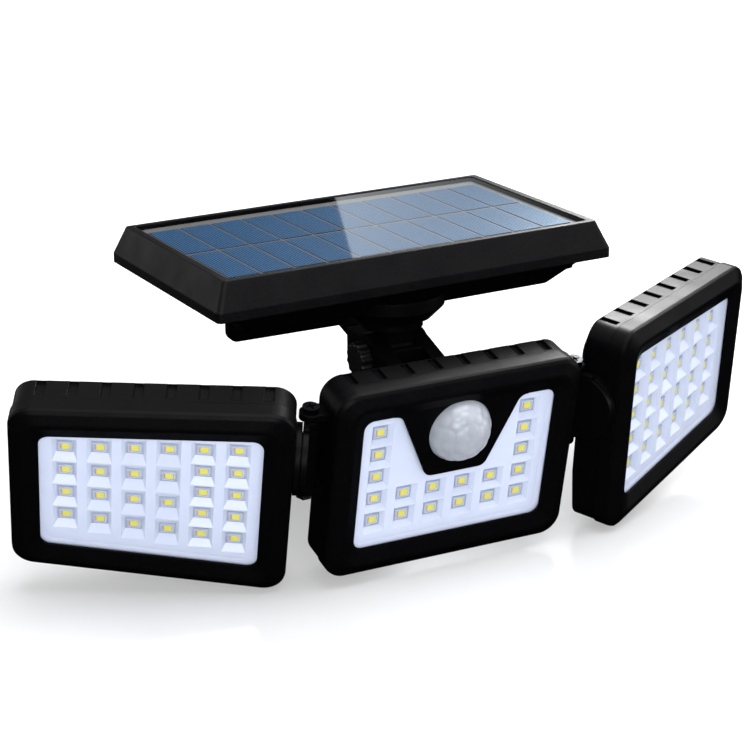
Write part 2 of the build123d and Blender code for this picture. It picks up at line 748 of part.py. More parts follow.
with BuildPart() as panel_hinge_nut:
    with BuildSketch(panel_hinge_left.offset(FORK_WIDTH + SEAM)):
        RegularPolygon(4.0, 6, major_radius=False)
        Circle(PANEL_BOLT_RADIUS + PIN_FIT, mode=Mode.SUBTRACT)
    extrude(amount=4.0)
panel_hinge_nut.part.label = "panel_hinge_nut"
export_step(panel_hinge_nut.part, "parts/panel_hinge_nut.step")

# Socket-head bolt and nut of the centre head's hinge
head_hinge_left = Plane(origin=head_hinge_point, x_dir=(0, 1, 0), z_dir=(1, 0, 0)).offset(-FORK_WIDTH / 2)
with BuildPart() as head_hinge_bolt:
    with BuildSketch(head_hinge_left):
        Circle(HEAD_BOLT_RADIUS)
    extrude(amount=FORK_WIDTH + 4)
    with BuildSketch(head_hinge_left):
        Circle(3.6)
    extrude(amount=-3.2)
    with BuildSketch(head_hinge_left.offset(-3.2)):
        RegularPolygon(1.5, 6, major_radius=False)
    extrude(amount=1.8, mode=Mode.SUBTRACT)
head_hinge_bolt.part.label = "head_hinge_bolt"
export_step(head_hinge_bolt.part, "parts/head_hinge_bolt.step")

with BuildPart() as head_hinge_nut:
    with BuildSketch(head_hinge_left.offset(FORK_WIDTH + SEAM)):
        RegularPolygon(3.5, 6, major_radius=False)
        Circle(HEAD_BOLT_RADIUS + PIN_FIT, mode=Mode.SUBTRACT)
    extrude(amount=3.2)
head_hinge_nut.part.label = "head_hinge_nut"
export_step(head_hinge_nut.part, "parts/head_hinge_nut.step")

# Panel stem: lug between the cheeks, neck, collar and the spigot that the panel turns on
stem = Plane(Location(panel_hinge_point, (PANEL_TILT, 0, 0)))
COLLAR_TOP = PANEL_ABOVE - SWIVEL_DOWN - SLIP
SPIGOT_TOP = PANEL_ABOVE - TRAY_DOWN + SHELL + 0.2
stem_side = Plane(origin=stem.origin, x_dir=stem.y_dir, z_dir=stem.x_dir)
with BuildPart() as panel_stem:
    with BuildSketch(stem_side):
        Circle(HUB_RADIUS - 0.2)
        with Locations((0, COLLAR_TOP / 2)):
            Rectangle(15, COLLAR_TOP)
        Circle(PANEL_BOLT_RADIUS + PIN_FIT, mode=Mode.SUBTRACT)
    extrude(amount=STEM_WIDTH / 2, both=True)
    with BuildSketch(stem.offset(COLLAR_TOP - COLLAR_THICK)):
        Circle(COLLAR_RADIUS)
    extrude(amount=COLLAR_THICK)
    with BuildSketch(stem.offset(COLLAR_TOP)):
        Circle(SPIGOT_RADIUS)
    extrude(amount=SPIGOT_TOP - COLLAR_TOP)
    with BuildSketch(stem.offset(SPIGOT_TOP)):
        Circle(1.3)
    extrude(amount=-8, mode=Mode.SUBTRACT)
panel_stem.part.label = "panel_stem"
export_step(panel_stem.part, "parts/panel_stem.step")

STEM_WASHER_RADIUS = 7.0
with BuildPart() as stem_washer:
    with BuildSketch(stem.offset(SPIGOT_TOP)):
        Circle(STEM_WASHER_RADIUS)
        Circle(1.6, mode=Mode.SUBTRACT)
    extrude(amount=1.2)
stem_washer.part.label = "stem_washer"
export_step(stem_washer.part, "parts/stem_washer.step")

with BuildPart() as stem_screw:
    with BuildSketch(stem.offset(SPIGOT_TOP + 1.2)):
        Circle(3)
    extrude(amount=2)
    with BuildSketch(stem.offset(SPIGOT_TOP + 1.2)):
        Circle(1.25)
    extrude(amount=-8.5)
    with BuildSketch(stem.offset(SPIGOT_TOP + 3.2)):
        Rectangle(3.6, 0.8)
        Rectangle(0.8, 3.6)
    extrude(amount=-1.2, mode=Mode.SUBTRACT)
stem_screw.part.label = "stem_screw"
export_step(stem_screw.part, "parts/stem_screw.step")

# Solar panel, on a plane at the middle of its top face
deck = Plane(
    stem.location * Location((0, 0, 0), (0, 0, PANEL_YAW)) * Location((0, PANEL_BEHIND, PANEL_ABOVE))
)
GLASS_RECESS = 3.0
FRAME_ROUND = 0.5
GLASS_FIT = 0.3
LEDGE = 2.0
LEDGE_WIDTH = 4.5
FRAME_INNER_LENGTH = 154.0
FRAME_INNER_DEPTH = 85.0
TRAY_SCREW_X = 71.0
TRAY_SCREW_Y = 36.0


def deck_rectangle(down, length, depth, corner, shift=0.0):
    """Rounded rectangle at a distance below the panel's top face."""
    with BuildSketch(deck.offset(-down)) as shape:
        with Locations((0, shift)):
            RectangleRounded(length, depth, corner)
    return shape.sketch


tray_screw_points = [
    (-TRAY_SCREW_X, -TRAY_SCREW_Y),
    (TRAY_SCREW_X, -TRAY_SCREW_Y),
    (TRAY_SCREW_X, TRAY_SCREW_Y),
    (-TRAY_SCREW_X, TRAY_SCREW_Y),
]
rim_length = PANEL_LENGTH + PANEL_FLARE
rim_depth = PANEL_DEPTH + PANEL_FLARE - 1
with BuildPart() as panel_frame:
    loft(
        [
            deck_rectangle(0, PANEL_LENGTH, PANEL_DEPTH, TOP_CORNER),
            deck_rectangle(RIM_DOWN, rim_length, rim_depth, RIM_CORNER_ROUND),
        ]
    )
    extrude(
        deck_rectangle(FRAME_DOWN, rim_length, rim_depth, RIM_CORNER_ROUND),
        amount=FRAME_DOWN - RIM_DOWN,
    )
    extrude(
        deck_rectangle(0, GLASS_LENGTH + 2 * GLASS_FIT, GLASS_DEPTH + 2 * GLASS_FIT, 1.5),
        amount=-GLASS_RECESS,
        mode=Mode.SUBTRACT,
    )
    extrude(
        deck_rectangle(0, GLASS_LENGTH - 2 * LEDGE_WIDTH, GLASS_DEPTH - 2 * LEDGE_WIDTH, 3),
        amount=-FRAME_DOWN,
        mode=Mode.SUBTRACT,
    )
    extrude(
        deck_rectangle(GLASS_RECESS + LEDGE, FRAME_INNER_LENGTH, FRAME_INNER_DEPTH, 4),
        amount=GLASS_RECESS + LEDGE - FRAME_DOWN,
        mode=Mode.SUBTRACT,
    )
    with BuildSketch(deck.offset(-GLASS_RECESS - LEDGE)):
        with Locations(*tray_screw_points):
            Rectangle(9, 9)
    extrude(amount=GLASS_RECESS + LEDGE - FRAME_DOWN)
    with BuildSketch(deck.offset(-FRAME_DOWN)):
        with Locations(*tray_screw_points):
            Circle(1.3)
    extrude(amount=7, mode=Mode.SUBTRACT)
    deck_edges = panel_frame.edges().filter_by(
        lambda edge: abs(deck.to_local_coords(edge.center()).Z) < 0.01
    )
    outer_edges = deck_edges.filter_by(
        lambda edge: abs(deck.to_local_coords(edge.center()).X) > (GLASS_LENGTH + PANEL_LENGTH) / 4
        or abs(deck.to_local_coords(edge.center()).Y) > (GLASS_DEPTH + PANEL_DEPTH) / 4
    )
    fillet(outer_edges, FRAME_ROUND)
panel_frame.part.label = "panel_frame"
export_step(panel_frame.part, "parts/panel_frame.step")

with BuildPart() as panel_glass:
    extrude(deck_rectangle(0.25, GLASS_LENGTH, GLASS_DEPTH, 1.2), amount=-1.45)
panel_glass.part.label = "panel_glass"
export_step(panel_glass.part, "parts/panel_glass.step")

with BuildPart() as solar_cells:
    with BuildSketch(deck.offset(-2.0)):
        with GridLocations(CELL_LENGTH + CELL_GAP, CELL_DEPTH + ROW_GAP, CELL_COLUMNS, CELL_ROWS):
            Rectangle(CELL_LENGTH, CELL_DEPTH)
    extrude(amount=0.25)
solar_cells.part.label = "solar_cells"
export_step(solar_cells.part, "parts/solar_cells.step")

with BuildPart() as cell_board:
    extrude(deck_rectangle(2.0, GLASS_LENGTH, GLASS_DEPTH, 1.2), amount=-1.0)
cell_board.part.label = "cell_board"
export_step(cell_board.part, "parts/cell_board.step")

TRAY_TOP = FRAME_DOWN + SEAM
TRAY_WALL = 3.0
BOSS_RISE = 5.0
NICHE_LENGTH = 30.0
NICHE_HEIGHT = 6.5
NICHE_DOWN = 20.0
NICHE_REACH = 19.0
CHARGE_LIFT = 2.0
CHARGE_RIGHT = 48.0
CHARGE_BACK = 6.0
CHARGE_WIDTH = 20.0
CHARGE_LENGTH = 40.0
charge_posts = [
    (CHARGE_RIGHT + side * (CHARGE_WIDTH / 2 - 3), CHARGE_BACK + end * (CHARGE_LENGTH / 2 - 3))
    for side in (-1, 1)
    for end in (-1, 1)
]
with BuildPart() as panel_tray:
    loft(
        [
            deck_rectangle(TRAY_TOP, TRAY_LENGTH, TRAY_DEPTH, PANEL_CORNER),
            deck_rectangle(TRAY_DOWN, TRAY_FLOOR_LENGTH, TRAY_FLOOR_DEPTH, PANEL_CORNER, TRAY_SET_BACK),
        ]
    )
    fillet(
        panel_tray.edges().filter_by(
            lambda edge: abs(deck.to_local_coords(edge.center()).Z + TRAY_DOWN) < 0.01
        ),
        2.5,
    )
    with BuildSketch(deck.offset(-TRAY_DOWN + BOSS_RISE)):
        with Locations((0, -PANEL_BEHIND)):
            Circle(SWIVEL_RADIUS)
    extrude(amount=-BOSS_RISE)
    extrude(
        deck_rectangle(10.0, FRAME_INNER_LENGTH - 0.6, FRAME_INNER_DEPTH - 0.6, 4), amount=10.0 - TRAY_TOP
    )
    loft(
        [
            deck_rectangle(9.0, FRAME_INNER_LENGTH - 8, FRAME_INNER_DEPTH - 5, 4),
            deck_rectangle(TRAY_TOP, FRAME_INNER_LENGTH - 12, FRAME_INNER_DEPTH - 5, 4),
        ],
        mode=Mode.SUBTRACT,
    )
    loft(
        [
            deck_rectangle(TRAY_TOP, FRAME_INNER_LENGTH - 12, FRAME_INNER_DEPTH - 5, 4),
            deck_rectangle(
                TRAY_DOWN - SHELL, TRAY_FLOOR_LENGTH - 10, TRAY_FLOOR_DEPTH - 2 * TRAY_WALL, 4, TRAY_SET_BACK
            ),
        ],
        mode=Mode.SUBTRACT,
    )
    with BuildSketch(deck.offset(-10.0)):
        with Locations(*tray_screw_points):
            Rectangle(9.6, 9.6)
    extrude(amount=10.0 - TRAY_TOP, mode=Mode.SUBTRACT)
    with BuildSketch(deck.offset(-TRAY_TOP)):
        with Locations(*tray_screw_points):
            Circle(4.4)
    extrude(amount=-5)
    with BuildSketch(deck.offset(-TRAY_TOP)):
        with Locations(*tray_screw_points):
            Circle(1.6)
    extrude(amount=-12, mode=Mode.SUBTRACT)
    with BuildSketch(deck.offset(-TRAY_TOP - 3)):
        with Locations(*tray_screw_points):
            Circle(2.9)
    extrude(amount=-12, mode=Mode.SUBTRACT)
    for side in (-1, 1):
        with BuildSketch(
            Plane(
                origin=deck.from_local_coords(Vector(side * 90, 0, -NICHE_DOWN)),
                x_dir=deck.y_dir,
                z_dir=deck.x_dir,
            )
        ):
            Rectangle(NICHE_LENGTH, NICHE_HEIGHT)
        extrude(amount=-side * NICHE_REACH, mode=Mode.SUBTRACT)
    with BuildSketch(deck.offset(-TRAY_DOWN)):
        with Locations((0, -PANEL_BEHIND)):
            Circle(SWIVEL_RADIUS)
    extrude(amount=TRAY_DOWN - SWIVEL_DOWN, taper=45)
    with BuildSketch(deck.offset(-SWIVEL_DOWN)):
        with Locations((0, -PANEL_BEHIND)):
            Circle(SPIGOT_RADIUS + PIN_FIT)
    extrude(amount=10, mode=Mode.SUBTRACT)
    with BuildSketch(deck.offset(-TRAY_DOWN + SHELL)):
        with Locations(*charge_posts):
            Circle(1.8)
    extrude(amount=CHARGE_LIFT)
panel_tray.part.label = "panel_tray"
export_step(panel_tray.part, "parts/panel_tray.step")

with BuildPart() as tray_screws:
    with BuildSketch(deck.offset(-TRAY_TOP - 3)):
        with Locations(*tray_screw_points):
            Circle(2.6)
    extrude(amount=-1.8)
    with BuildSketch(deck.offset(-TRAY_TOP - 3)):
        with Locations(*tray_screw_points):
            Circle(1.25)
    extrude(amount=8)
    with BuildSketch(deck.offset(-TRAY_TOP - 4.8)):
        with Locations(*tray_screw_points):
            Rectangle(3.2, 0.7)
            Rectangle(0.7, 3.2)
    extrude(amount=1, mode=Mode.SUBTRACT)
tray_screws.part.label = "tray_screws"
export_step(tray_screws.part, "parts/tray_screws.step")

# Rechargeable cells, their holder and the charging board inside the tray
CELL_CAN_AXIS_DOWN = 13.8
CELL_CAN_FIRST = 3.0
CELL_CAN_PITCH = 19.6
can_end = Plane(
    origin=deck.from_local_coords(Vector(-CELL_CAN_LENGTH / 2, 0, 0)), x_dir=deck.y_dir, z_dir=deck.x_dir
)
can_points = [(CELL_CAN_FIRST, -CELL_CAN_AXIS_DOWN), (CELL_CAN_FIRST + CELL_CAN_PITCH, -CELL_CAN_AXIS_DOWN)]
with BuildPart() as battery_cells:
    with BuildSketch(can_end):
        with Locations(*can_points):
            Circle(CELL_CAN_RADIUS)
    extrude(amount=CELL_CAN_LENGTH - 1)
    with BuildSketch(can_end.offset(CELL_CAN_LENGTH - 1)):
        with Locations(*can_points):
            Circle(3)
    extrude(amount=1)
battery_cells.part.label = "battery_cells"
export_step(battery_cells.part, "parts/battery_cells.step")

with BuildPart() as battery_holder:
    with BuildSketch(deck.offset(-TRAY_DOWN + SHELL + 0.1)):
        with Locations((0, CELL_CAN_FIRST + CELL_CAN_PITCH / 2)):
            Rectangle(CELL_CAN_LENGTH + 8, 2 * CELL_CAN_PITCH - 1)
    extrude(amount=10)
    with BuildSketch(can_end.offset(-0.6)):
        with Locations(*can_points):
            Circle(CELL_CAN_RADIUS + 0.15)
    extrude(amount=CELL_CAN_LENGTH + 1.2, mode=Mode.SUBTRACT)
battery_holder.part.label = "battery_holder"
export_step(battery_holder.part, "parts/battery_holder.step")

with BuildPart() as charge_board:
    with BuildSketch(deck.offset(-TRAY_DOWN + SHELL + CHARGE_LIFT)):
        with Locations((CHARGE_RIGHT, CHARGE_BACK)):
            Rectangle(CHARGE_WIDTH, CHARGE_LENGTH)
    extrude(amount=1.6)
    with BuildSketch(deck.offset(-TRAY_DOWN + SHELL + CHARGE_LIFT + 1.6)):
        with Locations((CHARGE_RIGHT - 2, CHARGE_BACK - 6), (CHARGE_RIGHT - 2, CHARGE_BACK + 10)):
            Rectangle(7, 9)
    extrude(amount=2.4)
charge_board.part.label = "charge_board"
export_step(charge_board.part, "parts/charge_board.step")

# The three heads
left_hinge = hinge_plane(-1, LEFT_YAW)
left_roll = roll_plane(left_hinge, LEFT_ROLL)
left_face = side_face(left_roll, -1)
right_hinge = hinge_plane(1, RIGHT_YAW)
right_roll = roll_plane(right_hinge, RIGHT_ROLL)
right_face = side_face(right_roll, 1)
build_head("centre", centre_face, CENTRE_HEIGHT, CENTRE_HEIGHT, 0)
build_head("left", left_face, SIDE_OUTER_HEIGHT, SIDE_INNER_HEIGHT, 1)
build_head("right", right_face, SIDE_INNER_HEIGHT, SIDE_OUTER_HEIGHT, -1)

# Motion sensor: dome, sensor can, and the board and button behind it
dome_side = Plane(
    origin=centre_face.from_local_coords(Vector(0, DOME_UP, 0)),
    x_dir=centre_face.x_dir,
    z_dir=-centre_face.y_dir,
)
dome_axis = Axis(dome_side.origin, centre_face.z_dir)
cap_radius = (DOME_RADIUS**2 + DOME_RISE**2) / (2 * DOME_RISE)
cap_middle = TONGUE_PROUD + DOME_RISE - cap_radius
inner_foot = sqrt((cap_radius - DOME_SHELL) ** 2 - (TONGUE_PROUD - cap_middle) ** 2)
outer_start = degrees(atan2(TONGUE_PROUD - cap_middle, DOME_RADIUS))
inner_start = degrees(atan2(TONGUE_PROUD - cap_middle, inner_foot))
with BuildPart() as pir_dome:
    with BuildSketch(dome_side):
        with BuildLine():
            Line((0, cap_middle + cap_radius), (0, cap_middle + cap_radius - DOME_SHELL))
            CenterArc((0, cap_middle), cap_radius - DOME_SHELL, inner_start, 90 - inner_start)
            Polyline(
                (inner_foot, TONGUE_PROUD),
                (inner_foot, -WINDOW_LIP - 1.4),
                (DOME_RADIUS + DOME_FLANGE, -WINDOW_LIP - 1.4),
                (DOME_RADIUS + DOME_FLANGE, -WINDOW_LIP - 0.2),
                (DOME_RADIUS, -WINDOW_LIP - 0.2),
                (DOME_RADIUS, TONGUE_PROUD),
            )
            CenterArc((0, cap_middle), cap_radius, outer_start, 90 - outer_start)
        make_face()
    revolve(axis=dome_axis)
pir_dome.part.label = "pir_dome"
export_step(pir_dome.part, "parts/pir_dome.step")

with BuildPart() as pir_sensor:
    with BuildSketch(centre_face.offset(-BOARD_FRONT)):
        with Locations((0, DOME_UP)):
            Circle(4.7)
    extrude(amount=0.6)
    with BuildSketch(centre_face.offset(-BOARD_FRONT + 0.6)):
        with Locations((0, DOME_UP)):
            Circle(4.1)
    extrude(amount=4)
pir_sensor.part.label = "pir_sensor"
export_step(pir_sensor.part, "parts/pir_sensor.step")

with BuildPart() as control_board:
    with BuildSketch(centre_face.offset(-CONTROL_DEPTH)):
        with Locations((CONTROL_RIGHT, CONTROL_UP)):
            Rectangle(CONTROL_LENGTH, CONTROL_HEIGHT)
    extrude(amount=-CONTROL_THICK)
    with BuildSketch(centre_face.offset(-CONTROL_DEPTH - CONTROL_THICK)):
        with Locations((BUTTON_RIGHT, BUTTON_UP), (-8, -6), (8, 2)):
            Rectangle(6, 6)
    extrude(amount=-2.0)
control_board.part.label = "control_board"
export_step(control_board.part, "parts/control_board.step")

BUTTON_PROUD = 1.6
with BuildPart() as mode_button:
    with BuildSketch(centre_face.offset(-HEAD_BACK - BUTTON_PROUD)):
        with Locations((BUTTON_RIGHT, BUTTON_UP)):
            Circle(BUTTON_RADIUS)
    extrude(amount=BUTTON_PROUD + SHELL + SLIP)
    with BuildSketch(centre_face.offset(-HEAD_BACK + SHELL + SLIP)):
        with Locations((BUTTON_RIGHT, BUTTON_UP)):
            Circle(BUTTON_RADIUS + 1)
    extrude(amount=0.9)
    fillet(mode_button.faces().sort_by(Axis(centre_face.origin, centre_face.z_dir))[0].edges(), 0.6)
mode_button.part.label = "mode_button"
export_step(mode_button.part, "parts/mode_button.step")

with BuildPart() as button_seal:
    with BuildSketch(centre_face.offset(-HEAD_BACK)):
        with Locations((BUTTON_RIGHT, BUTTON_UP)):
            Circle(BUTTON_RADIUS + 2.6)
            Circle(BUTTON_RADIUS + 0.35, mode=Mode.SUBTRACT)
    extrude(amount=-0.7)
button_seal.part.label = "button_seal"
export_step(button_seal.part, "parts/button_seal.step")


def build_elbow(prefix, hinge, side):
    """Elbow between the centre head and a side head, with the pieces that hold it."""
    low = EAR_LOW + EAR_THICK + SLIP
    high = EAR_UP - SLIP
    disc_face = HUB_TO_WALL - ELBOW_DISC - SLIP
    disc = sideways(hinge, side * disc_face, ROLL_UP, -ROLL_AHEAD)
    with BuildPart() as elbow:
        with BuildSketch(upright(hinge, 0, 0, low)):
            Circle(KNUCKLE_RADIUS)
            with Locations((side * disc_face / 2, -ROLL_AHEAD / 2)):
                Rectangle(disc_face, 12)
            with Locations((side * (disc_face + 5), 0)):
                Rectangle(10, 40, mode=Mode.SUBTRACT)
        extrude(amount=high - low)
        with BuildSketch(disc):
            Circle(ROLL_RADIUS)
        extrude(amount=-side * ELBOW_DISC)
        with BuildSketch(disc):
            Circle(HUB_STEP_RADIUS)
        extrude(amount=side * HUB_STEP)
        with BuildSketch(disc):
            Circle(STUB_RADIUS)
        extrude(amount=side * (DRUM_BORE_END - disc_face + 0.2))
        with BuildSketch(upright(hinge, 0, 0, low)):
            Circle(YAW_PIN_RADIUS + PIN_FIT)
        extrude(amount=high - low, mode=Mode.SUBTRACT)
        with BuildSketch(disc.offset(side * (DRUM_BORE_END - disc_face + 0.2))):
            Circle(1.3)
        extrude(amount=-side * 7, mode=Mode.SUBTRACT)
    elbow.part.label = prefix + "_elbow"
    export_step(elbow.part, "parts/" + prefix + "_elbow.step")
    stub_end = disc.offset(side * (DRUM_BORE_END - disc_face + 0.2))
    with BuildPart() as washer:
        with BuildSketch(stub_end):
            Circle(7)
            Circle(1.6, mode=Mode.SUBTRACT)
        extrude(amount=side * 1.0)
    washer.part.label = prefix + "_roll_washer"
    export_step(washer.part, "parts/" + prefix + "_roll_washer.step")
    with BuildPart() as screw:
        with BuildSketch(stub_end.offset(side * 1.0)):
            Circle(2.6)
        extrude(amount=side * 1.8)
        with BuildSketch(stub_end.offset(side * 1.0)):
            Circle(1.25)
        extrude(amount=-side * 7)
        with BuildSketch(stub_end.offset(side * 2.8)):
            Rectangle(3.2, 0.7)
            Rectangle(0.7, 3.2)
        extrude(amount=-side * 1.0, mode=Mode.SUBTRACT)
    screw.part.label = prefix + "_roll_screw"
    export_step(screw.part, "parts/" + prefix + "_roll_screw.step")


def build_yaw_bolt(prefix, side):
    """Bolt and nut that pin an elbow between the two ears of the centre head."""
    top = EAR_UP + EAR_THICK
    foot = EAR_LOW
    across = side * (HEAD_WIDTH / 2 + YAW_PIN_OUT)
    with BuildPart() as bolt:
        with BuildSketch(upright(centre_face, across, YAW_PIN_BACK, top)):
            Circle(3.2)
        extrude(amount=2.2)
        with BuildSketch(upright(centre_face, across, YAW_PIN_BACK, top)):
            Circle(YAW_PIN_RADIUS)
        extrude(amount=foot - top - 3.2)
        with BuildSketch(upright(centre_face, across, YAW_PIN_BACK, top + 2.2)):
            Rectangle(3.8, 0.8)
            Rectangle(0.8, 3.8)
        extrude(amount=-1.2, mode=Mode.SUBTRACT)
    bolt.part.label = prefix + "_yaw_bolt"
    export_step(bolt.part, "parts/" + prefix + "_yaw_bolt.step")
    with BuildPart() as nut:
        with BuildSketch(upright(centre_face, across, YAW_PIN_BACK, foot - SEAM)):
            RegularPolygon(2.75, 6, major_radius=False)
            Circle(YAW_PIN_RADIUS + PIN_FIT, mode=Mode.SUBTRACT)
        extrude(amount=-2.4)
    nut.part.label = prefix + "_yaw_nut"
    export_step(nut.part, "parts/" + prefix + "_yaw_nut.step")


build_elbow("left", left_hinge, -1)
build_elbow("right", right_hinge, 1)
build_yaw_bolt("left", -1)
build_yaw_bolt("right", 1)

print("head hinge in the centre head", head_hinge)
for name, plane in (("left", left_hinge), ("right", right_hinge)):
    print(name, "yaw", plane.origin, plane.y_dir)
for name, plane in (("left", left_roll), ("right", right_roll)):
    print(name, "roll", plane.origin, plane.x_dir)
print("stem", stem.origin, stem.z_dir)
print("face", centre_face.z_dir, "left", left_face.origin, "right", right_face.origin, "deck", deck.origin)
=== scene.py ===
import math
import bmesh
import bpy
from mathutils import Matrix, Vector


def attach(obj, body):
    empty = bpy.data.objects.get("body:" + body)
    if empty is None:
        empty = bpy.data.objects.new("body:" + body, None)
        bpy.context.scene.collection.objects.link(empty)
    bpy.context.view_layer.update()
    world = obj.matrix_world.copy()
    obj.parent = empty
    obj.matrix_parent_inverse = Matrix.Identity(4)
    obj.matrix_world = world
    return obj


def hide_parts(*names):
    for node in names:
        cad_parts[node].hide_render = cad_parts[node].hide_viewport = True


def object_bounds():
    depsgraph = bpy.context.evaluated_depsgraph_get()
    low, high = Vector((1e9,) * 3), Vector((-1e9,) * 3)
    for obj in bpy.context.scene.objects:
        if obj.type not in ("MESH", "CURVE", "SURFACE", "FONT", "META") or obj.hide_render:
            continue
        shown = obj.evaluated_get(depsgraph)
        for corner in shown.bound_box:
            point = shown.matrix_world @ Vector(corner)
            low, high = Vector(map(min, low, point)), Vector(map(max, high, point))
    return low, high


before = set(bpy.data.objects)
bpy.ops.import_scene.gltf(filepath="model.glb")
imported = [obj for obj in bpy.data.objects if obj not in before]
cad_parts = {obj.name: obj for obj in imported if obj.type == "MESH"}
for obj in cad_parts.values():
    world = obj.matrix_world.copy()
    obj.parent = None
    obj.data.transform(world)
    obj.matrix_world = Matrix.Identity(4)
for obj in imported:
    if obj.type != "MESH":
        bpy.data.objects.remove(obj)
cad_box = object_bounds()

# ---------------------------------------------------------------------------
# Wall bracket
# Plate, arched arm, two cheeks and fork in one moulding of black ABS. The tool
# was spark-eroded, so every outer face has a fine, even, satin grain.
# ---------------------------------------------------------------------------
MM = 0.001


def linear(code):
    """Turns an sRGB hex colour into the linear colour that shaders take."""
    parts = [int(code[i:i + 2], 16) / 255 for i in (1, 3, 5)]
    return [c / 12.92 if c <= 0.04045 else ((c + 0.055) / 1.055) ** 2.4 for c in parts] + [1.0]


def add(tree, kind, sockets=None, **settings):
    """Adds one node, with its settings, and sets or links the sockets that are named."""
    node = tree.nodes.new(kind)
    for name, value in settings.items():
        setattr(node, name, value)
    for name, value in (sockets or {}).items():
        if isinstance(value, bpy.types.NodeSocket):
            tree.links.new(value, node.inputs[name])
        else:
            node.inputs[name].default_value = value
    return node


def blank_material(name):
    """Starts a material with nothing in its tree."""
    material = bpy.data.materials.new(name)
    material.use_nodes = True
    material.node_tree.nodes.clear()
    return material, material.node_tree


def dress(material, *names):
    """Gives CAD nodes their finish."""
    for name in names:
        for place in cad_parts[name].material_slots:
            place.material = material


# Moulded ABS, spark-eroded. The real grain is about 0.1 mm, too fine to show,
# so it is drawn at 0.6 mm. It breaks the highlights into a soft grey sheen, and
# the mould's rounded edges catch a thin line of light.
GRAIN = 0.6 * MM
CLOUD = 14 * MM


def grained_plastic(name, colour, worn, rough_low, rough_high, grain, depth, shine=0.05):
    material, tree = blank_material(name)
    place = add(tree, "ShaderNodeTexCoord").outputs["Object"]
    fine = add(tree, "ShaderNodeTexNoise", {"Vector": place, "Scale": 1 / grain, "Detail": 3.0, "Roughness": 0.6})
    cloud = add(tree, "ShaderNodeTexNoise", {"Vector": place, "Scale": 1 / CLOUD, "Detail": 4.0})
    tone = add(tree, "ShaderNodeMapRange", {"Value": fine.outputs["Fac"], "From Min": 0.35, "From Max": 0.75})
    shade = add(tree, "ShaderNodeMix", {"Factor": tone.outputs["Result"], "A": linear(colour), "B": linear(worn)},
                data_type="RGBA")
    gloss = add(tree, "ShaderNodeMapRange", {"Value": cloud.outputs["Fac"], "From Min": 0.35, "From Max": 0.65,
                                             "To Min": rough_low, "To Max": rough_high})
    edge = add(tree, "ShaderNodeBevel", {"Radius": 0.7 * MM}, samples=4)
    bump = add(tree, "ShaderNodeBump", {"Strength": 0.4, "Distance": depth, "Height": fine.outputs["Fac"],
                                        "Normal": edge.outputs["Normal"]})
    surface = add(tree, "ShaderNodeBsdfPrincipled", {
        "Base Color": shade.outputs["Result"], "Roughness": gloss.outputs["Result"], "IOR": 1.53,
        "Specular IOR Level": shine, "Normal": bump.outputs["Normal"]})
    add(tree, "ShaderNodeOutputMaterial", {"Surface": surface.outputs["BSDF"]})
    return material


grained_abs = grained_plastic("spark_eroded_black_abs", "#020203", "#08080a", 0.36, 0.46, GRAIN, 0.06 * MM)
dress(grained_abs, "wall_bracket")

# ---------------------------------------------------------------------------
# Hinge bolts and nuts of the bracket
# A ribbed nylon knob clamps the panel's hinge and a socket-head bolt the heads'.
# Bolts and screws are steel in black zinc, nuts and washers bright zinc.
# ---------------------------------------------------------------------------


def plated_steel(name, colour, rough, streak):
    """Zinc plating over turned or stamped steel: a metal with faint turning lines and cloudy patches."""
    material, tree = blank_material(name)
    place = add(tree, "ShaderNodeTexCoord").outputs["Object"]
    cloud = add(tree, "ShaderNodeTexNoise", {"Vector": place, "Scale": 1 / (2.5 * MM), "Detail": 5.0})
    gloss = add(tree, "ShaderNodeMapRange", {"Value": cloud.outputs["Fac"], "To Min": rough - 0.08,
                                             "To Max": rough + 0.1})
    lines = add(tree, "ShaderNodeTexNoise", {"Vector": place, "Scale": 1 / streak, "Detail": 2.0})
    bump = add(tree, "ShaderNodeBump", {"Strength": 0.25, "Distance": 0.03 * MM, "Height": lines.outputs["Fac"]})
    surface = add(tree, "ShaderNodeBsdfPrincipled", {
        "Base Color": linear(colour), "Metallic": 1.0, "Roughness": gloss.outputs["Result"],
        "Normal": bump.outputs["Normal"]})
    add(tree, "ShaderNodeOutputMaterial", {"Surface": surface.outputs["BSDF"]})
    return material


black_zinc = plated_steel("black_zinc_screw_steel", "#2b2c30", 0.34, 0.5 * MM)
bright_zinc = plated_steel("bright_zinc_steel", "#b9bcc2", 0.3, 0.5 * MM)
knob_nylon = grained_plastic("ribbed_nylon_knob", "#0c0c0e", "#161619", 0.3, 0.4, GRAIN, 0.04 * MM, 0.3)
dress(knob_nylon, "panel_hinge_bolt")
dress(black_zinc, "head_hinge_bolt")
dress(bright_zinc, "panel_hinge_nut", "head_hinge_nut")

# ---------------------------------------------------------------------------
# Stem under the panel
# One ABS moulding: lug, neck, collar and spigot. The panel turns on the spigot,
# held by a washer and a screw from inside the tray.
# ---------------------------------------------------------------------------
dress(grained_abs, "panel_stem")
dress(black_zinc, "stem_screw")
dress(bright_zinc, "stem_washer")

# ---------------------------------------------------------------------------
# Tray of the solar panel, its cells and charging board
# The tray is ABS like the rest. Two cells in green shrink sleeve sit in a black
# holder beside a green fibreglass board.
# ---------------------------------------------------------------------------
dress(grained_abs, "panel_tray")
dress(black_zinc, "tray_screws")


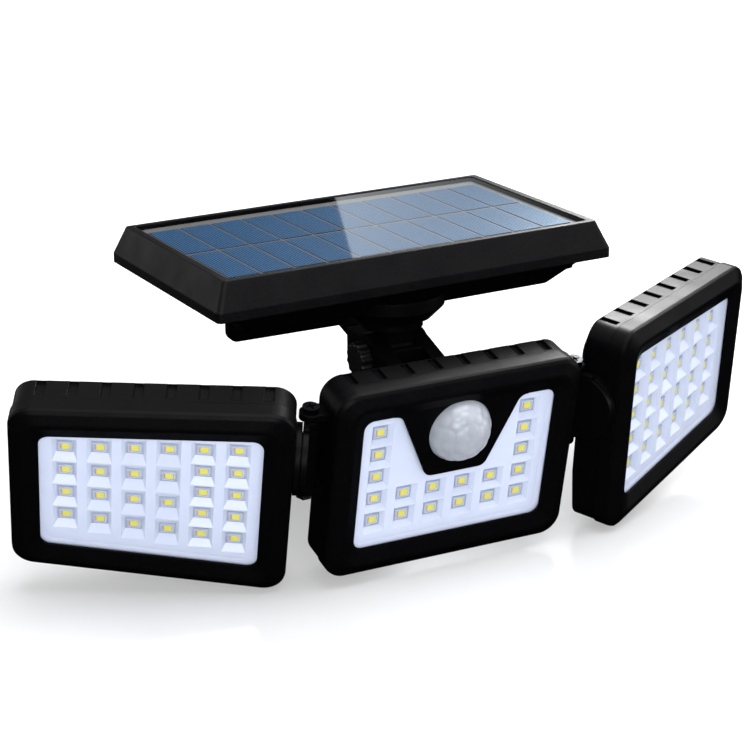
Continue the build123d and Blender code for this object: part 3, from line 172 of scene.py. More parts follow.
def smooth_plastic(name, colour, tint, rough, patch, coat=0.0):
    """Unpainted smooth moulding or sleeve: an even colour with faint cloudy tint and a soft gloss."""
    material, tree = blank_material(name)
    place = add(tree, "ShaderNodeTexCoord").outputs["Object"]
    cloud = add(tree, "ShaderNodeTexNoise", {"Vector": place, "Scale": 1 / patch, "Detail": 4.0})
    shade = add(tree, "ShaderNodeMix", {"Factor": cloud.outputs["Fac"], "A": linear(colour), "B": linear(tint)},
                data_type="RGBA")
    bump = add(tree, "ShaderNodeBump", {"Strength": 0.1, "Distance": 0.05 * MM, "Height": cloud.outputs["Fac"]})
    surface = add(tree, "ShaderNodeBsdfPrincipled", {
        "Base Color": shade.outputs["Result"], "Roughness": rough, "IOR": 1.5, "Coat Weight": coat,
        "Normal": bump.outputs["Normal"]})
    add(tree, "ShaderNodeOutputMaterial", {"Surface": surface.outputs["BSDF"]})
    return material


# Shrink sleeve shines a little, moulded nylon is dull, and the coated fibreglass
# board shows its weave as a faint mottle.
shrink_sleeve = smooth_plastic("green_shrink_sleeve", "#1f6b3c", "#267a46", 0.3, 6 * MM, 0.3)
holder_plastic = smooth_plastic("black_holder_nylon", "#151517", "#1c1c1f", 0.45, 5 * MM)
fibreglass = smooth_plastic("green_fibreglass_board", "#16482b", "#1d5a36", 0.4, 1.2 * MM, 0.2)
dress(shrink_sleeve, "battery_cells")
dress(holder_plastic, "battery_holder")
dress(fibreglass, "charge_board")

# ---------------------------------------------------------------------------
# Solar cells on their backing board
# Twenty-two strips cut from blue polycrystalline wafers, laid on a grey-brown
# resin board in two rows, under clear resin.
# ---------------------------------------------------------------------------
# Filled resin: an even, dull grey-brown that frames the cells.
board_resin = smooth_plastic("grey_brown_board_resin", "#857a71", "#93867c", 0.5, 3 * MM)
dress(board_resin, "cell_board")

# Polycrystalline silicon with a blue anti-reflection coat: crystal flakes a few
# millimetres across shift the blue slightly, which shows as faint patches.
silicon, tree = blank_material("blue_coated_silicon")
place = add(tree, "ShaderNodeTexCoord").outputs["Object"]
flake = add(tree, "ShaderNodeTexVoronoi", {"Vector": place, "Scale": 1 / (3 * MM), "Randomness": 1.0})
flake_tone = add(tree, "ShaderNodeSeparateColor", {"Color": flake.outputs["Color"]})
shade = add(tree, "ShaderNodeMix", {"Factor": flake_tone.outputs["Red"], "A": linear("#0a1b3a"),
                                    "B": linear("#10294d")}, data_type="RGBA")
surface = add(tree, "ShaderNodeBsdfPrincipled", {"Base Color": shade.outputs["Result"], "Roughness": 0.35,
                                                 "IOR": 1.5})
add(tree, "ShaderNodeOutputMaterial", {"Surface": surface.outputs["BSDF"]})
dress(silicon, "solar_cells")

# Eleven printed finger lines run down every cell, paler than the coated wafer.
# One tree lays them on a grid over the two rows and turns it with the panel.
PANEL_HINGE = Vector((0, -91, 1)) * MM
PANEL_TILT = math.radians(-1.1)
PANEL_YAW = math.radians(2.3)
DECK = Vector((0, 24.8, 47.2)) * MM
CELL_PITCH = 13.6 * MM
ROW_MIDDLE = 19.1 * MM
FINGER_PITCH = 1.14 * MM
FINGER_TOP = -1.73 * MM
deck_matrix = (Matrix.Translation(PANEL_HINGE) @ Matrix.Rotation(PANEL_TILT, 4, "X")
               @ Matrix.Rotation(PANEL_YAW, 4, "Z") @ Matrix.Translation(DECK))

# Fired silver paste under the blue coat looks pale blue and dull.
finger_ink = smooth_plastic("printed_finger_paste", "#5d8fbb", "#6c9dc6", 0.4, 1.5 * MM)


def new_tree(name, sizes):
    """Starts a geometry tree whose sizes are named inputs."""
    tree = bpy.data.node_groups.new(name, "GeometryNodeTree")
    tree.interface.new_socket("Geometry", in_out="INPUT", socket_type="NodeSocketGeometry")
    tree.interface.new_socket("Geometry", in_out="OUTPUT", socket_type="NodeSocketGeometry")
    for label, kind in sizes:
        tree.interface.new_socket(label, in_out="INPUT", socket_type=kind)
    return tree, add(tree, "NodeGroupInput").outputs


def end_tree(tree, shape, material):
    """Realizes the instances and gives them their material."""
    real = add(tree, "GeometryNodeRealizeInstances", {"Geometry": shape})
    done = add(tree, "GeometryNodeSetMaterial", {"Geometry": real.outputs["Geometry"], "Material": material})
    add(tree, "NodeGroupOutput", {"Geometry": done.outputs["Geometry"]})


def grow(name, tree, points, values):
    """Runs a tree on a mesh of points and returns its result as a plain object."""
    seed = bpy.data.meshes.new(name + "_points")
    seed.from_pydata([tuple(point) for point in points], [], [])
    maker = bpy.data.objects.new(name + "_maker", seed)
    bpy.context.collection.objects.link(maker)
    modifier = maker.modifiers.new("shape", "NODES")
    modifier.node_group = tree
    for item in tree.interface.items_tree:
        if item.in_out == "INPUT" and item.name in values:
            modifier[item.identifier] = values[item.name]
    maker.update_tag()
    graph = bpy.context.evaluated_depsgraph_get()
    mesh = bpy.data.meshes.new_from_object(maker.evaluated_get(graph))
    mesh.name = name
    maker.modifiers.remove(modifier)
    bpy.data.objects.remove(maker)
    piece = bpy.data.objects.new(name, mesh)
    bpy.context.collection.objects.link(piece)
    return piece


tree, given = new_tree("finger_lines", [
    ("Line Length", "NodeSocketFloat"), ("Line Width", "NodeSocketFloat"), ("Line Height", "NodeSocketFloat"),
    ("Turn", "NodeSocketRotation")])
size = add(tree, "ShaderNodeCombineXYZ", {
    "X": given["Line Width"], "Y": given["Line Length"], "Z": given["Line Height"]})
line = add(tree, "GeometryNodeMeshCube", {"Size": size.outputs["Vector"]})
laid = add(tree, "GeometryNodeInstanceOnPoints", {"Points": given["Geometry"], "Instance": line.outputs["Mesh"],
                                                  "Rotation": given["Turn"]})
end_tree(tree, laid.outputs["Instances"], finger_ink)
seats = [deck_matrix @ Vector(((column - 5) * CELL_PITCH + (line - 5) * FINGER_PITCH, row * ROW_MIDDLE, FINGER_TOP))
         for row in (-1, 1) for column in range(11) for line in range(11)]
fingers = grow("cell_fingers", tree, seats, {
    "Line Length": 35.9 * MM, "Line Width": 0.42 * MM, "Line Height": 0.02 * MM, "Turn": deck_matrix.to_euler()})
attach(fingers, "panel")

# ---------------------------------------------------------------------------
# Cover glass and frame of the panel
# A clear toughened pane lies in a lip of the sloped frame, an ABS moulding with
# a coarser grain than the heads', which leaves it a little greyer.
# ---------------------------------------------------------------------------


def clear_cover(name, tint, rough, share):
    """A clear sheet: light passes straight through, and the surface mirrors by the Fresnel share."""
    material, tree = blank_material(name)
    fresnel = add(tree, "ShaderNodeFresnel", {"IOR": share})
    back = add(tree, "ShaderNodeNewGeometry").outputs["Backfacing"]
    outside = add(tree, "ShaderNodeMath", {0: 1.0, 1: back}, operation="SUBTRACT")
    mirrored = add(tree, "ShaderNodeMath", {0: fresnel.outputs["Fac"], 1: outside.outputs["Value"]},
                   operation="MULTIPLY")
    through = add(tree, "ShaderNodeBsdfTransparent", {"Color": linear(tint)})
    mirror = add(tree, "ShaderNodeBsdfGlossy", {"Color": (1, 1, 1, 1), "Roughness": rough})
    both = add(tree, "ShaderNodeMixShader", {0: mirrored.outputs["Value"], 1: through.outputs["BSDF"],
                                             2: mirror.outputs["BSDF"]})
    add(tree, "ShaderNodeOutputMaterial", {"Surface": both.outputs["Shader"]})
    return material


# Toughened glass: a clear mirror at this low angle.
panel_pane = clear_cover("clear_toughened_pane", "#f4f8fb", 0.03, 1.45)
dress(panel_pane, "panel_glass")
# The coarser grain shows as a fine speckle on the frame's slopes.
frame_abs = grained_plastic("coarse_grained_black_abs", "#030304", "#0c0c0f", 0.42, 0.52, 0.8 * MM, 0.09 * MM, 0.1)
dress(frame_abs, "panel_frame")

# ---------------------------------------------------------------------------
# Casings, gaskets and case screws of the three heads
# Each casing is a deep ABS moulding with slots round its edge, closed by a
# bezel on a rubber ring with four black screws from behind.
# ---------------------------------------------------------------------------
HEADS = ("centre", "left", "right")
# Silicone rubber is the dullest black on the light.
rubber = smooth_plastic("black_seal_rubber", "#0b0b0b", "#121212", 0.7, 2 * MM)
for head in HEADS:
    dress(grained_abs, head + "_casing")
    dress(rubber, head + "_gasket")
    dress(black_zinc, head + "_case_screws")

# ---------------------------------------------------------------------------
# Lamp boards, lamps and reflectors
# White-masked aluminium boards carry surface-mounted lamps, each a pale moulded
# package with a yellow phosphor window, at the bottom of a well.
# ---------------------------------------------------------------------------
# Solder mask is a flat cool white. The reflectors are moulded in a whiter,
# half-gloss ABS, so their well walls show as soft steps of grey.
board_mask = smooth_plastic("white_solder_mask", "#d2d8e4", "#dde2ec", 0.35, 2 * MM, 0.2)
reflector_white = smooth_plastic("half_gloss_white_abs", "#d2d8e6", "#dde2ec", 0.28, 8 * MM, 0.2)
for head in HEADS:
    dress(board_mask, head + "_lamp_board")
    dress(reflector_white, head + "_reflector")

# ---------------------------------------------------------------------------
# Lamps
# Each is a pale moulded package with a sloped rim round a yellow phosphor
# window and a copper-coloured contact at its left end, soldered on the board.
# ---------------------------------------------------------------------------
LAMP_LENGTH = 5.6 * MM
LAMP_WIDTH = 4.8 * MM
LAMP_HEIGHT = 0.7 * MM
LAMP_WALL = 1.1 * MM
CONTACT_WIDTH = 0.5 * MM
centre_matrix = (Matrix.Translation(Vector((0, -142, -29)) * MM)
                 @ Matrix.Rotation(math.radians(90 + 11.9), 4, "X"))


def side_matrix(side, yaw, roll):
    """Place of a side head, through its yaw pin and its roll axis."""
    return (centre_matrix @ Matrix.Translation(Vector((side * 55.8, 0, -13)) * MM)
            @ Matrix.Rotation(math.radians(side * yaw), 4, "Y") @ Matrix.Translation(Vector((0, 11, 5)) * MM)
            @ Matrix.Rotation(math.radians(roll), 4, "X") @ Matrix.Translation(Vector((side * 55.6, -11, 15)) * MM))


head_matrix = {"centre": centre_matrix, "left": side_matrix(-1, 26.3, 10.8), "right": side_matrix(1, 28.9, -3.6)}


def island_middles(name):
    """Middle of each separate solid in a CAD node."""
    bm = bmesh.new()
    bm.from_mesh(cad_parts[name].data)
    bmesh.ops.remove_doubles(bm, verts=bm.verts, dist=0.01 * MM)
    waiting = set(bm.verts)
    middles = []
    while waiting:
        group = []
        edge = [waiting.pop()]
        while edge:
            vert = edge.pop()
            group.append(vert.co.copy())
            for link in vert.link_edges:
                other = link.other_vert(vert)
                if other in waiting:
                    waiting.remove(other)
                    edge.append(other)
        low = Vector([min(co[axis] for co in group) for axis in range(3)])
        high = Vector([max(co[axis] for co in group) for axis in range(3)])
        middles.append((low + high) / 2)
    bm.free()
    return sorted(middles, key=lambda co: (round(co.x, 5), round(co.z, 5)))


# Lamp package, phosphor in clear resin, and bare contact: three small patches of
# cool grey, strong yellow and dull pink.
package_resin = smooth_plastic("pale_lamp_package", "#b9c0cf", "#ccd2de", 0.35, 1.5 * MM, 0.2)
phosphor = smooth_plastic("yellow_phosphor_resin", "#e3d84e", "#f0e56a", 0.3, 0.6 * MM, 0.4)
contact_copper = smooth_plastic("pink_copper_contact", "#b79a92", "#c6aaa2", 0.35, 0.5 * MM)
lamp_sizes = [("Length", "NodeSocketFloat"), ("Width", "NodeSocketFloat"), ("Height", "NodeSocketFloat"),
              ("Wall", "NodeSocketFloat"), ("Turn", "NodeSocketRotation")]


def block(tree, length, width, height, x, y, z):
    """A block in a tree, moved to its place in the lamp."""
    size = add(tree, "ShaderNodeCombineXYZ", {"X": length, "Y": width, "Z": height})
    cube = add(tree, "GeometryNodeMeshCube", {"Size": size.outputs["Vector"]})
    shift = add(tree, "ShaderNodeCombineXYZ", {"X": x, "Y": y, "Z": z})
    moved = add(tree, "GeometryNodeTransform", {
        "Geometry": cube.outputs["Mesh"], "Translation": shift.outputs["Vector"]})
    return moved.outputs["Geometry"]


def times(tree, value, factor):
    return add(tree, "ShaderNodeMath", {0: value, 1: factor}, operation="MULTIPLY").outputs["Value"]


def less(tree, value, taken):
    return add(tree, "ShaderNodeMath", {0: value, 1: taken}, operation="SUBTRACT").outputs["Value"]


# The package: a floor block and a rim swept round it with a sloped inner face.
package_tree, given = new_tree("lamp_package", lamp_sizes)
floor_block = block(package_tree, given["Length"], given["Width"], times(package_tree, given["Height"], 0.5),
                    0.0, 0.0, times(package_tree, given["Height"], -0.25))
rim_path = add(package_tree, "GeometryNodeCurvePrimitiveQuadrilateral", {
    "Width": less(package_tree, given["Length"], given["Wall"]),
    "Height": less(package_tree, given["Width"], given["Wall"])}, mode="RECTANGLE")
rim_section = add(package_tree, "GeometryNodeCurvePrimitiveQuadrilateral", {
    "Bottom Width": given["Wall"], "Top Width": times(package_tree, given["Wall"], 0.4),
    "Height": given["Height"], "Offset": 0.0}, mode="TRAPEZOID")
rim = add(package_tree, "GeometryNodeCurveToMesh", {
    "Curve": rim_path.outputs["Curve"], "Profile Curve": rim_section.outputs["Curve"], "Fill Caps": False})
both = add(package_tree, "GeometryNodeJoinGeometry")
package_tree.links.new(floor_block, both.inputs["Geometry"])
package_tree.links.new(rim.outputs["Mesh"], both.inputs["Geometry"])
laid = add(package_tree, "GeometryNodeInstanceOnPoints", {
    "Points": given["Geometry"], "Instance": both.outputs["Geometry"], "Rotation": given["Turn"]})
end_tree(package_tree, laid.outputs["Instances"], package_resin)

# The phosphor fills the rim to a little below its top, right of the contact.
phosphor_tree, given = new_tree("lamp_phosphor", lamp_sizes)
inner_length = less(phosphor_tree, less(phosphor_tree, given["Length"], times(phosphor_tree, given["Wall"], 2.0)),
                    CONTACT_WIDTH)
inner_width = less(phosphor_tree, given["Width"], times(phosphor_tree, given["Wall"], 2.0))
window = block(phosphor_tree, inner_length, inner_width, times(phosphor_tree, given["Height"], 0.2),
               CONTACT_WIDTH / 2, 0.0, times(phosphor_tree, given["Height"], 0.15))
laid = add(phosphor_tree, "GeometryNodeInstanceOnPoints", {
    "Points": given["Geometry"], "Instance": window, "Rotation": given["Turn"]})
end_tree(phosphor_tree, laid.outputs["Instances"], phosphor)

# The contact lies inside the rim at the left end, a little lower than the phosphor.
contact_tree, given = new_tree("lamp_contact", lamp_sizes)
inner_width = less(contact_tree, given["Width"], times(contact_tree, given["Wall"], 2.0))
pad_place = add(contact_tree, "ShaderNodeMath", {0: given["Length"], 1: -0.5, 2: given["Wall"]},
                operation="MULTIPLY_ADD")
pad_middle = add(contact_tree, "ShaderNodeMath", {0: pad_place.outputs["Value"], 1: CONTACT_WIDTH / 2},
                 operation="ADD")
pad = block(contact_tree, CONTACT_WIDTH, inner_width, times(contact_tree, given["Height"], 0.2),
            pad_middle.outputs["Value"], 0.0, times(contact_tree, given["Height"], 0.12))
laid = add(contact_tree, "GeometryNodeInstanceOnPoints", {
    "Points": given["Geometry"], "Instance": pad, "Rotation": given["Turn"]})
end_tree(contact_tree, laid.outputs["Instances"], contact_copper)

for head in HEADS:
    lamp_seats = island_middles(head + "_lamps")
    sizes = {"Length": LAMP_LENGTH, "Width": LAMP_WIDTH, "Height": LAMP_HEIGHT, "Wall": LAMP_WALL,
             "Turn": head_matrix[head].to_euler()}
    packages = grow(head + "_lamp_packages", package_tree, lamp_seats, sizes)
    windows = grow(head + "_lamp_windows", phosphor_tree, lamp_seats, sizes)
    contacts = grow(head + "_lamp_contacts", contact_tree, lamp_seats, sizes)
    for piece, slot in ((packages, "white_reflector"), (windows, "lamp_phosphor"), (contacts, "steel")):
        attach(piece, head + "_head")
    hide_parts(head + "_lamps")

# ---------------------------------------------------------------------------
# Clear covers and bezels of the heads
# A thin clear polycarbonate sheet behind each window, and the ABS bezel.
# ---------------------------------------------------------------------------
# Polished polycarbonate: nearly invisible, with faint mirrored shapes.
lens_sheet = clear_cover("clear_polycarbonate_sheet", "#fbfcff", 0.04, 1.3)
for head in HEADS:
    dress(lens_sheet, head + "_lens")
    dress(grained_abs, head + "_bezel")

# ---------------------------------------------------------------------------
# Motion sensor
# A milky polythene dome of many small lenses over a steel can, on the control
# board.
# ---------------------------------------------------------------------------
# Milky polythene scatters light a little way in, which leaves it a soft grey
# with one small highlight.
milky, tree = blank_material("milky_lens_polythene")
place = add(tree, "ShaderNodeTexCoord").outputs["Object"]
cloud = add(tree, "ShaderNodeTexNoise", {"Vector": place, "Scale": 1 / (5 * MM), "Detail": 3.0})
shade = add(tree, "ShaderNodeMix", {"Factor": cloud.outputs["Fac"], "A": linear("#8f949e"),
                                    "B": linear("#a6abb4")}, data_type="RGBA")
surface = add(tree, "ShaderNodeBsdfPrincipled", {
    "Base Color": shade.outputs["Result"], "Roughness": 0.22, "IOR": 1.54, "Subsurface Weight": 0.3,
    "Subsurface Scale": 2 * MM})
add(tree, "ShaderNodeOutputMaterial", {"Surface": surface.outputs["BSDF"]})

# The dome: facets in rings round the top, each a small lens that bulges between
# shallow grooves, above a plain wall that drops through the tongue.
DOME_RADIUS = 12.8 * MM
DOME_RISE = 10.0 * MM
DOME_FOOT = 0.6 * MM
DOME_SHELL = 1.0 * MM
DOME_UP = 17.5 * MM
DOME_DEEP = -1.8 * MM
FACET_BULGE = 0.34 * MM
cap_radius = (DOME_RADIUS ** 2 + DOME_RISE ** 2) / (2 * DOME_RISE)
cap_angle = math.atan2(DOME_RADIUS, cap_radius - DOME_RISE)
cap_middle = DOME_FOOT + DOME_RISE - cap_radius
RINGS = 4
facet_step = cap_angle / (RINGS - 0.5)
facet_middles = [Vector((0, 0, 1))]
for ring in range(1, RINGS):
    tip = ring * facet_step
    count = max(6, round(math.tau * math.sin(tip) / (facet_step * 1.08)))
    for number in range(count):
        turn = math.tau * (number + 0.5 * (ring % 2)) / count
        facet_middles.append(Vector((math.sin(tip) * math.cos(turn), math.sin(tip) * math.sin(turn), math.cos(tip))))
dome_mesh = bpy.data.meshes.new("sensor_dome")
bm = bmesh.new()
AROUND = 112
CAP_STEPS = 44
dome_place = head_matrix["centre"] @ Matrix.Translation(Vector((0, DOME_UP, 0)))
top = bm.verts.new(dome_place @ Vector((0, 0, cap_middle + cap_radius)))
loops = []
for step in range(1, CAP_STEPS + 1):
    tip = cap_angle * step / CAP_STEPS
    loop = []
    for number in range(AROUND):
        turn = math.tau * number / AROUND
        aim = Vector((math.sin(tip) * math.cos(turn), math.sin(tip) * math.sin(turn), math.cos(tip)))
        gap = math.acos(min(1.0, max(aim.dot(middle) for middle in facet_middles)))
        dip = FACET_BULGE * min(1.0, gap / (facet_step * 0.62)) ** 2
        keep = min(1.0, (cap_angle - tip) / (0.12 * cap_angle))
        loop.append(bm.verts.new(dome_place @ (aim * (cap_radius - dip * keep) + Vector((0, 0, cap_middle)))))
    loops.append(loop)
inner_radius = DOME_RADIUS - DOME_SHELL
for radius, height in ((DOME_RADIUS, DOME_DEEP + 1.0 * MM), (DOME_RADIUS, DOME_DEEP), (inner_radius, DOME_DEEP),
                       (inner_radius, DOME_FOOT)):
    loops.append([bm.verts.new(dome_place @ Vector((radius * math.cos(math.tau * number / AROUND),
                                                    radius * math.sin(math.tau * number / AROUND), height)))
                  for number in range(AROUND)])
inside = cap_radius - DOME_SHELL
for step in range(9, 0, -1):
    tip = math.asin(min(1.0, inner_radius / inside)) * step / 10
    loops.append([bm.verts.new(dome_place @ Vector((inside * math.sin(tip) * math.cos(math.tau * number / AROUND),
                                                    inside * math.sin(tip) * math.sin(math.tau * number / AROUND),
                                                    cap_middle + inside * math.cos(tip))))
                  for number in range(AROUND)])
pole = bm.verts.new(dome_place @ Vector((0, 0, cap_middle + inside)))
for number in range(AROUND):
    following = (number + 1) % AROUND
    bm.faces.new((top, loops[0][number], loops[0][following]))
    bm.faces.new((loops[-1][number], pole, loops[-1][following]))
    for outer, inner in zip(loops, loops[1:]):
        bm.faces.new((outer[number], inner[number], inner[following], outer[following]))
bmesh.ops.recalc_face_normals(bm, faces=bm.faces)
for face in bm.faces:
    face.smooth = True
bm.to_mesh(dome_mesh)
bm.free()
dome_mesh.materials.append(milky)
dome = bpy.data.objects.new("sensor_dome", dome_mesh)
bpy.context.collection.objects.link(dome)
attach(dome, "centre_head")
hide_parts("pir_dome")
dress(bright_zinc, "pir_sensor")
dress(fibreglass, "control_board")

# ---------------------------------------------------------------------------
# Mode button and its ring
# A black button behind a rubber ring in the back of the middle head.
# ---------------------------------------------------------------------------
dress(knob_nylon, "mode_button")
dress(rubber, "button_seal")

# ---------------------------------------------------------------------------
# Elbows and bolts of the side hinges
# Each elbow is an ABS moulding with a knuckle between the ears of the middle
# head and a disc against the side head. A black bolt with a bright nut runs down
# the knuckle, and a washer and screw hold the disc from inside the side head.
# ---------------------------------------------------------------------------
for side in ("left", "right"):
    dress(grained_abs, side + "_elbow")
    dress(black_zinc, side + "_yaw_bolt", side + "_roll_screw")
    dress(bright_zinc, side + "_yaw_nut", side + "_roll_washer")

# ---------------------------------------------------------------------------
# Studio: floor, light and camera
# A white sweep that mirrors the light a little near its foot, three softboxes, a
# small lamp that grazes the right head's top, and cards that only reflections
# see.
# ---------------------------------------------------------------------------
FLOOR = cad_box[0][2] - 1.5 * MM
floor_mesh = bpy.data.meshes.new("studio_floor")
reach = 4.0
floor_corners = [(-reach, -reach, FLOOR), (reach, -reach, FLOOR), (reach, reach, FLOOR), (-reach, reach, FLOOR)]
floor_mesh.from_pydata(floor_corners, [], [(0, 1, 2, 3)])
floor = bpy.data.objects.new("studio_floor", floor_mesh)
bpy.context.collection.objects.link(floor)
# Glossy white laminate. Seen by the camera it is lit to white and mirrors the
# light near its foot, and other rays meet plain paper.
sweep, tree = blank_material("white_sweep")
path = add(tree, "ShaderNodeLightPath")
paper = add(tree, "ShaderNodeBsdfDiffuse", {"Color": linear("#eeeff1")})
glow = add(tree, "ShaderNodeEmission", {"Color": (1, 1, 1, 1), "Strength": 0.6})
shine = add(tree, "ShaderNodeBsdfGlossy", {"Color": (1, 1, 1, 1), "Roughness": 0.13})
place = add(tree, "ShaderNodeTexCoord").outputs["Object"]
spread = add(tree, "ShaderNodeVectorMath", {0: place, 1: (0, -0.14, FLOOR)}, operation="DISTANCE")
near = add(tree, "ShaderNodeMapRange", {"Value": spread.outputs["Value"], "From Min": 0.12, "From Max": 0.37,
                                        "To Min": 0.45, "To Max": 0.0})
lit = add(tree, "ShaderNodeAddShader", {0: paper.outputs["BSDF"], 1: glow.outputs["Emission"]})
polished = add(tree, "ShaderNodeMixShader", {0: near.outputs["Result"], 1: lit.outputs["Shader"],
                                             2: shine.outputs["BSDF"]})
seen = add(tree, "ShaderNodeMath", {0: path.outputs["Is Camera Ray"], 1: path.outputs["Is Transmission Ray"]},
           operation="MAXIMUM")
shown = add(tree, "ShaderNodeMixShader", {0: seen.outputs["Value"], 1: paper.outputs["BSDF"],
                                          2: polished.outputs["Shader"]})
add(tree, "ShaderNodeOutputMaterial", {"Surface": shown.outputs["Shader"]})
floor_mesh.materials.append(sweep)

world = bpy.data.worlds.new("studio")
bpy.context.scene.world = world
world.use_nodes = True
tree = world.node_tree
tree.nodes.clear()
path = add(tree, "ShaderNodeLightPath")
plain = add(tree, "ShaderNodeBackground", {"Color": (1, 1, 1, 1), "Strength": 0.45})
white = add(tree, "ShaderNodeBackground", {"Color": (1, 1, 1, 1), "Strength": 1.0})
mirrored = add(tree, "ShaderNodeMath", {0: path.outputs["Is Glossy Ray"], 1: path.outputs["Is Transmission Ray"]},
               operation="MAXIMUM")
seen = add(tree, "ShaderNodeMath", {0: path.outputs["Is Camera Ray"], 1: mirrored.outputs["Value"]},
           operation="MAXIMUM")
shown = add(tree, "ShaderNodeMixShader", {0: seen.outputs["Value"], 1: plain.outputs["Background"],
                                          2: white.outputs["Background"]})
add(tree, "ShaderNodeOutputWorld", {"Surface": shown.outputs["Shader"]})


def softbox(name, place, target, size, watts):
    """A soft rectangular lamp at a place, facing a target."""
    lamp = bpy.data.lights.new(name, "AREA")
    lamp.shape = "RECTANGLE"
    lamp.size, lamp.size_y = size
    lamp.energy = watts
    holder = bpy.data.objects.new(name, lamp)
    aim = Vector(target) - Vector(place)
    holder.matrix_world = Matrix.Translation(place) @ aim.to_track_quat("-Z", "Y").to_matrix().to_4x4()
    bpy.context.collection.objects.link(holder)
    return holder


MIDDLE = (0, -0.09, 0)
softbox("top_softbox", (0.1, -0.35, 1.1), MIDDLE, (1.2, 0.9), 14)
softbox("front_softbox", (-0.5, -1.3, 0.45), MIDDLE, (0.9, 0.7), 10)
softbox("side_softbox", (1.1, -0.5, 0.3), MIDDLE, (0.6, 0.8), 5)
graze = softbox("graze_softbox", (0.26, 0.1, 0.24), (0.115, -0.125, 0.015), (0.12, 0.12), 3.0)
graze.visible_diffuse = False

AZIMUTH, ELEVATION, ROLL = math.radians(-26.324), math.radians(19.657), math.radians(-0.514)
OFFSET = (-29.892, -817.525, 35.256)
forward = Vector((-math.sin(AZIMUTH) * math.cos(ELEVATION), math.cos(AZIMUTH) * math.cos(ELEVATION),
                  -math.sin(ELEVATION)))
right = Vector((math.cos(AZIMUTH), math.sin(AZIMUTH), 0))
up = right.cross(forward)
right, up = right * math.cos(ROLL) + up * math.sin(ROLL), up * math.cos(ROLL) - right * math.sin(ROLL)
eye = (forward * OFFSET[1] + right * OFFSET[0] + up * OFFSET[2] + Vector((0, -142, -29))) * MM
view = bpy.data.cameras.new("camera")
view.lens = 104.534
view.sensor_width = 36.0
view.clip_start = 0.01
camera = bpy.data.objects.new("camera", view)
camera.matrix_world = Matrix.Translation(eye) @ Matrix((right, up, -forward)).transposed().to_4x4()
bpy.context.collection.objects.link(camera)
bpy.context.scene.camera = camera
bpy.context.scene.view_settings.view_transform = "Standard"

# Cards that only reflections see. The one behind the panel is black on the left
# and a strip light on the right, brightest at its near edge, so the pane shows a
# pale sheen there. The ones in front keep the black mouldings and windows dark.
PICTURE = 750
FOCAL = 2177.798
GLARE_LINE = ((335.7, 198.3), (352.3, 256.8))
GLARE_END = (600.0, 200.0)
CARD_AWAY = 1.6


def card_point(pixel):
    """Where the ray through a pixel goes after the panel's pane mirrors it."""
    aim = forward + right * ((pixel[0] - PICTURE / 2) / FOCAL) - up * ((pixel[1] - PICTURE / 2) / FOCAL)
    normal = (deck_matrix.to_3x3() @ Vector((0, 0, 1))).normalized()
    start = deck_matrix.translation
    hit = eye + aim * ((start - eye).dot(normal) / aim.dot(normal))
    away = aim - normal * (2 * aim.dot(normal))
    return hit + away * ((CARD_AWAY - hit.y) / away.y)


def stage_card(name, corners, material, along=None):
    """A card of the studio that camera and diffuse rays pass through."""
    mesh = bpy.data.meshes.new(name)
    mesh.from_pydata([tuple(corner) for corner in corners], [], [tuple(range(len(corners)))])
    layer = mesh.uv_layers.new(name="UVMap")
    for loop in mesh.loops:
        layer.data[loop.index].uv = (along[loop.vertex_index], 0.5) if along else (0.5, 0.5)
    mesh.materials.append(material)
    card = bpy.data.objects.new(name, mesh)
    card.visible_camera = False
    card.visible_diffuse = False
    card.visible_shadow = False
    card.visible_transmission = False
    bpy.context.collection.objects.link(card)
    return card


black_card, tree = blank_material("black_studio_card")
dark = add(tree, "ShaderNodeBsdfDiffuse", {"Color": linear("#050505")})
add(tree, "ShaderNodeOutputMaterial", {"Surface": dark.outputs["BSDF"]})

strip_light, tree = blank_material("strip_light_card")
uv = add(tree, "ShaderNodeTexCoord").outputs["UV"]
apart = add(tree, "ShaderNodeSeparateXYZ", {"Vector": uv})
fall = add(tree, "ShaderNodeMapRange", {"Value": apart.outputs["X"], "From Min": 0.0, "From Max": 1.0, "To Min": 1.0,
                                        "To Max": 0.0})
fade = add(tree, "ShaderNodeMath", {0: fall.outputs["Result"], 1: 1.5}, operation="POWER")
start_edge = add(tree, "ShaderNodeMath", {0: apart.outputs["X"], 1: 0.0}, operation="GREATER_THAN")
power = add(tree, "ShaderNodeMath", {0: fade.outputs["Value"], 1: start_edge.outputs["Value"]}, operation="MULTIPLY")
level = add(tree, "ShaderNodeMath", {0: power.outputs["Value"], 1: 1.0}, operation="MULTIPLY")
light = add(tree, "ShaderNodeEmission", {"Color": (0.93, 0.97, 1.0, 1.0), "Strength": level.outputs["Value"]})
add(tree, "ShaderNodeOutputMaterial", {"Surface": light.outputs["Emission"]})
line_far, line_near, right_end = card_point(GLARE_LINE[0]), card_point(GLARE_LINE[1]), card_point(GLARE_END)
along_line = (line_near - line_far).normalized()
across_line = (right_end - line_far) - along_line * (right_end - line_far).dot(along_line)
full = across_line.length
across_line.normalize()
CARD_TALL = 1.1
CARD_LEFT = 1.3
middle_point = (line_far + line_near) / 2
corners, places = [], []
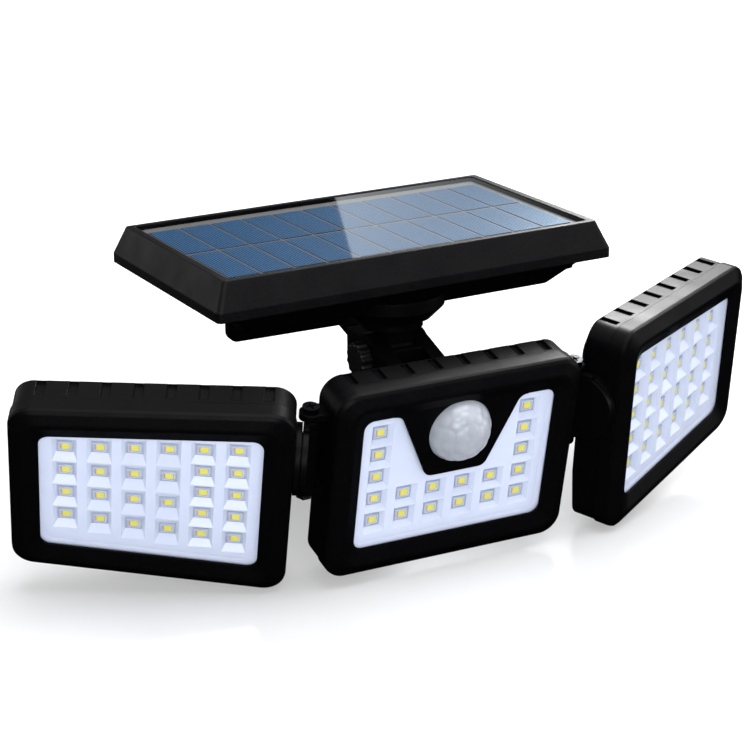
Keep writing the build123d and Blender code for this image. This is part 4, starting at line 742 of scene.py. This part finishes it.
for distance, lift in ((-CARD_LEFT, -1), (full * 1.15, -1), (full * 1.15, 1), (-CARD_LEFT, 1)):
    corners.append(middle_point + across_line * distance + along_line * (lift * CARD_TALL / 2))
    places.append(distance / full)
stage_card("panel_strip_card", corners, strip_light, places)
CARD_SIDE, CARD_FRONT, CARD_BACK, CARD_TOP, FRONT_TOP = 1.6, -1.5, 1.2, 0.7, 0.75
stage_card("front_black_card", [
    (-CARD_SIDE, CARD_FRONT, FLOOR), (CARD_SIDE, CARD_FRONT, FLOOR), (CARD_SIDE, CARD_FRONT, FRONT_TOP),
    (-CARD_SIDE, CARD_FRONT, FRONT_TOP)], black_card)
stage_card("left_black_card", [
    (-CARD_SIDE, CARD_FRONT, FLOOR), (-CARD_SIDE, CARD_BACK, FLOOR), (-CARD_SIDE, CARD_BACK, CARD_TOP),
    (-CARD_SIDE, CARD_FRONT, CARD_TOP)], black_card)

# The card just over the floor is black from above and clear from below, so the
# floor goes on mirroring the light while the mouldings mirror black.
floor_black, tree = blank_material("one_sided_black_card")
below = add(tree, "ShaderNodeNewGeometry").outputs["Backfacing"]
dark = add(tree, "ShaderNodeBsdfDiffuse", {"Color": linear("#050505")})
through = add(tree, "ShaderNodeBsdfTransparent", {"Color": (1, 1, 1, 1)})
one_side = add(tree, "ShaderNodeMixShader", {0: below, 1: dark.outputs["BSDF"], 2: through.outputs["BSDF"]})
add(tree, "ShaderNodeOutputMaterial", {"Surface": one_side.outputs["Shader"]})
LIFT, LIFT_BACK = FLOOR + 0.6 * MM, 0.6
stage_card("floor_black_card", [
    (-CARD_SIDE, CARD_FRONT, LIFT), (CARD_SIDE, CARD_FRONT, LIFT), (CARD_SIDE, LIFT_BACK, LIFT),
    (-CARD_SIDE, LIFT_BACK, LIFT)], floor_black)
stage_card("right_black_card", [
    (CARD_SIDE, CARD_FRONT, FLOOR), (CARD_SIDE, CARD_BACK, FLOOR), (CARD_SIDE, CARD_BACK, CARD_TOP),
    (CARD_SIDE, CARD_FRONT, CARD_TOP)], black_card)
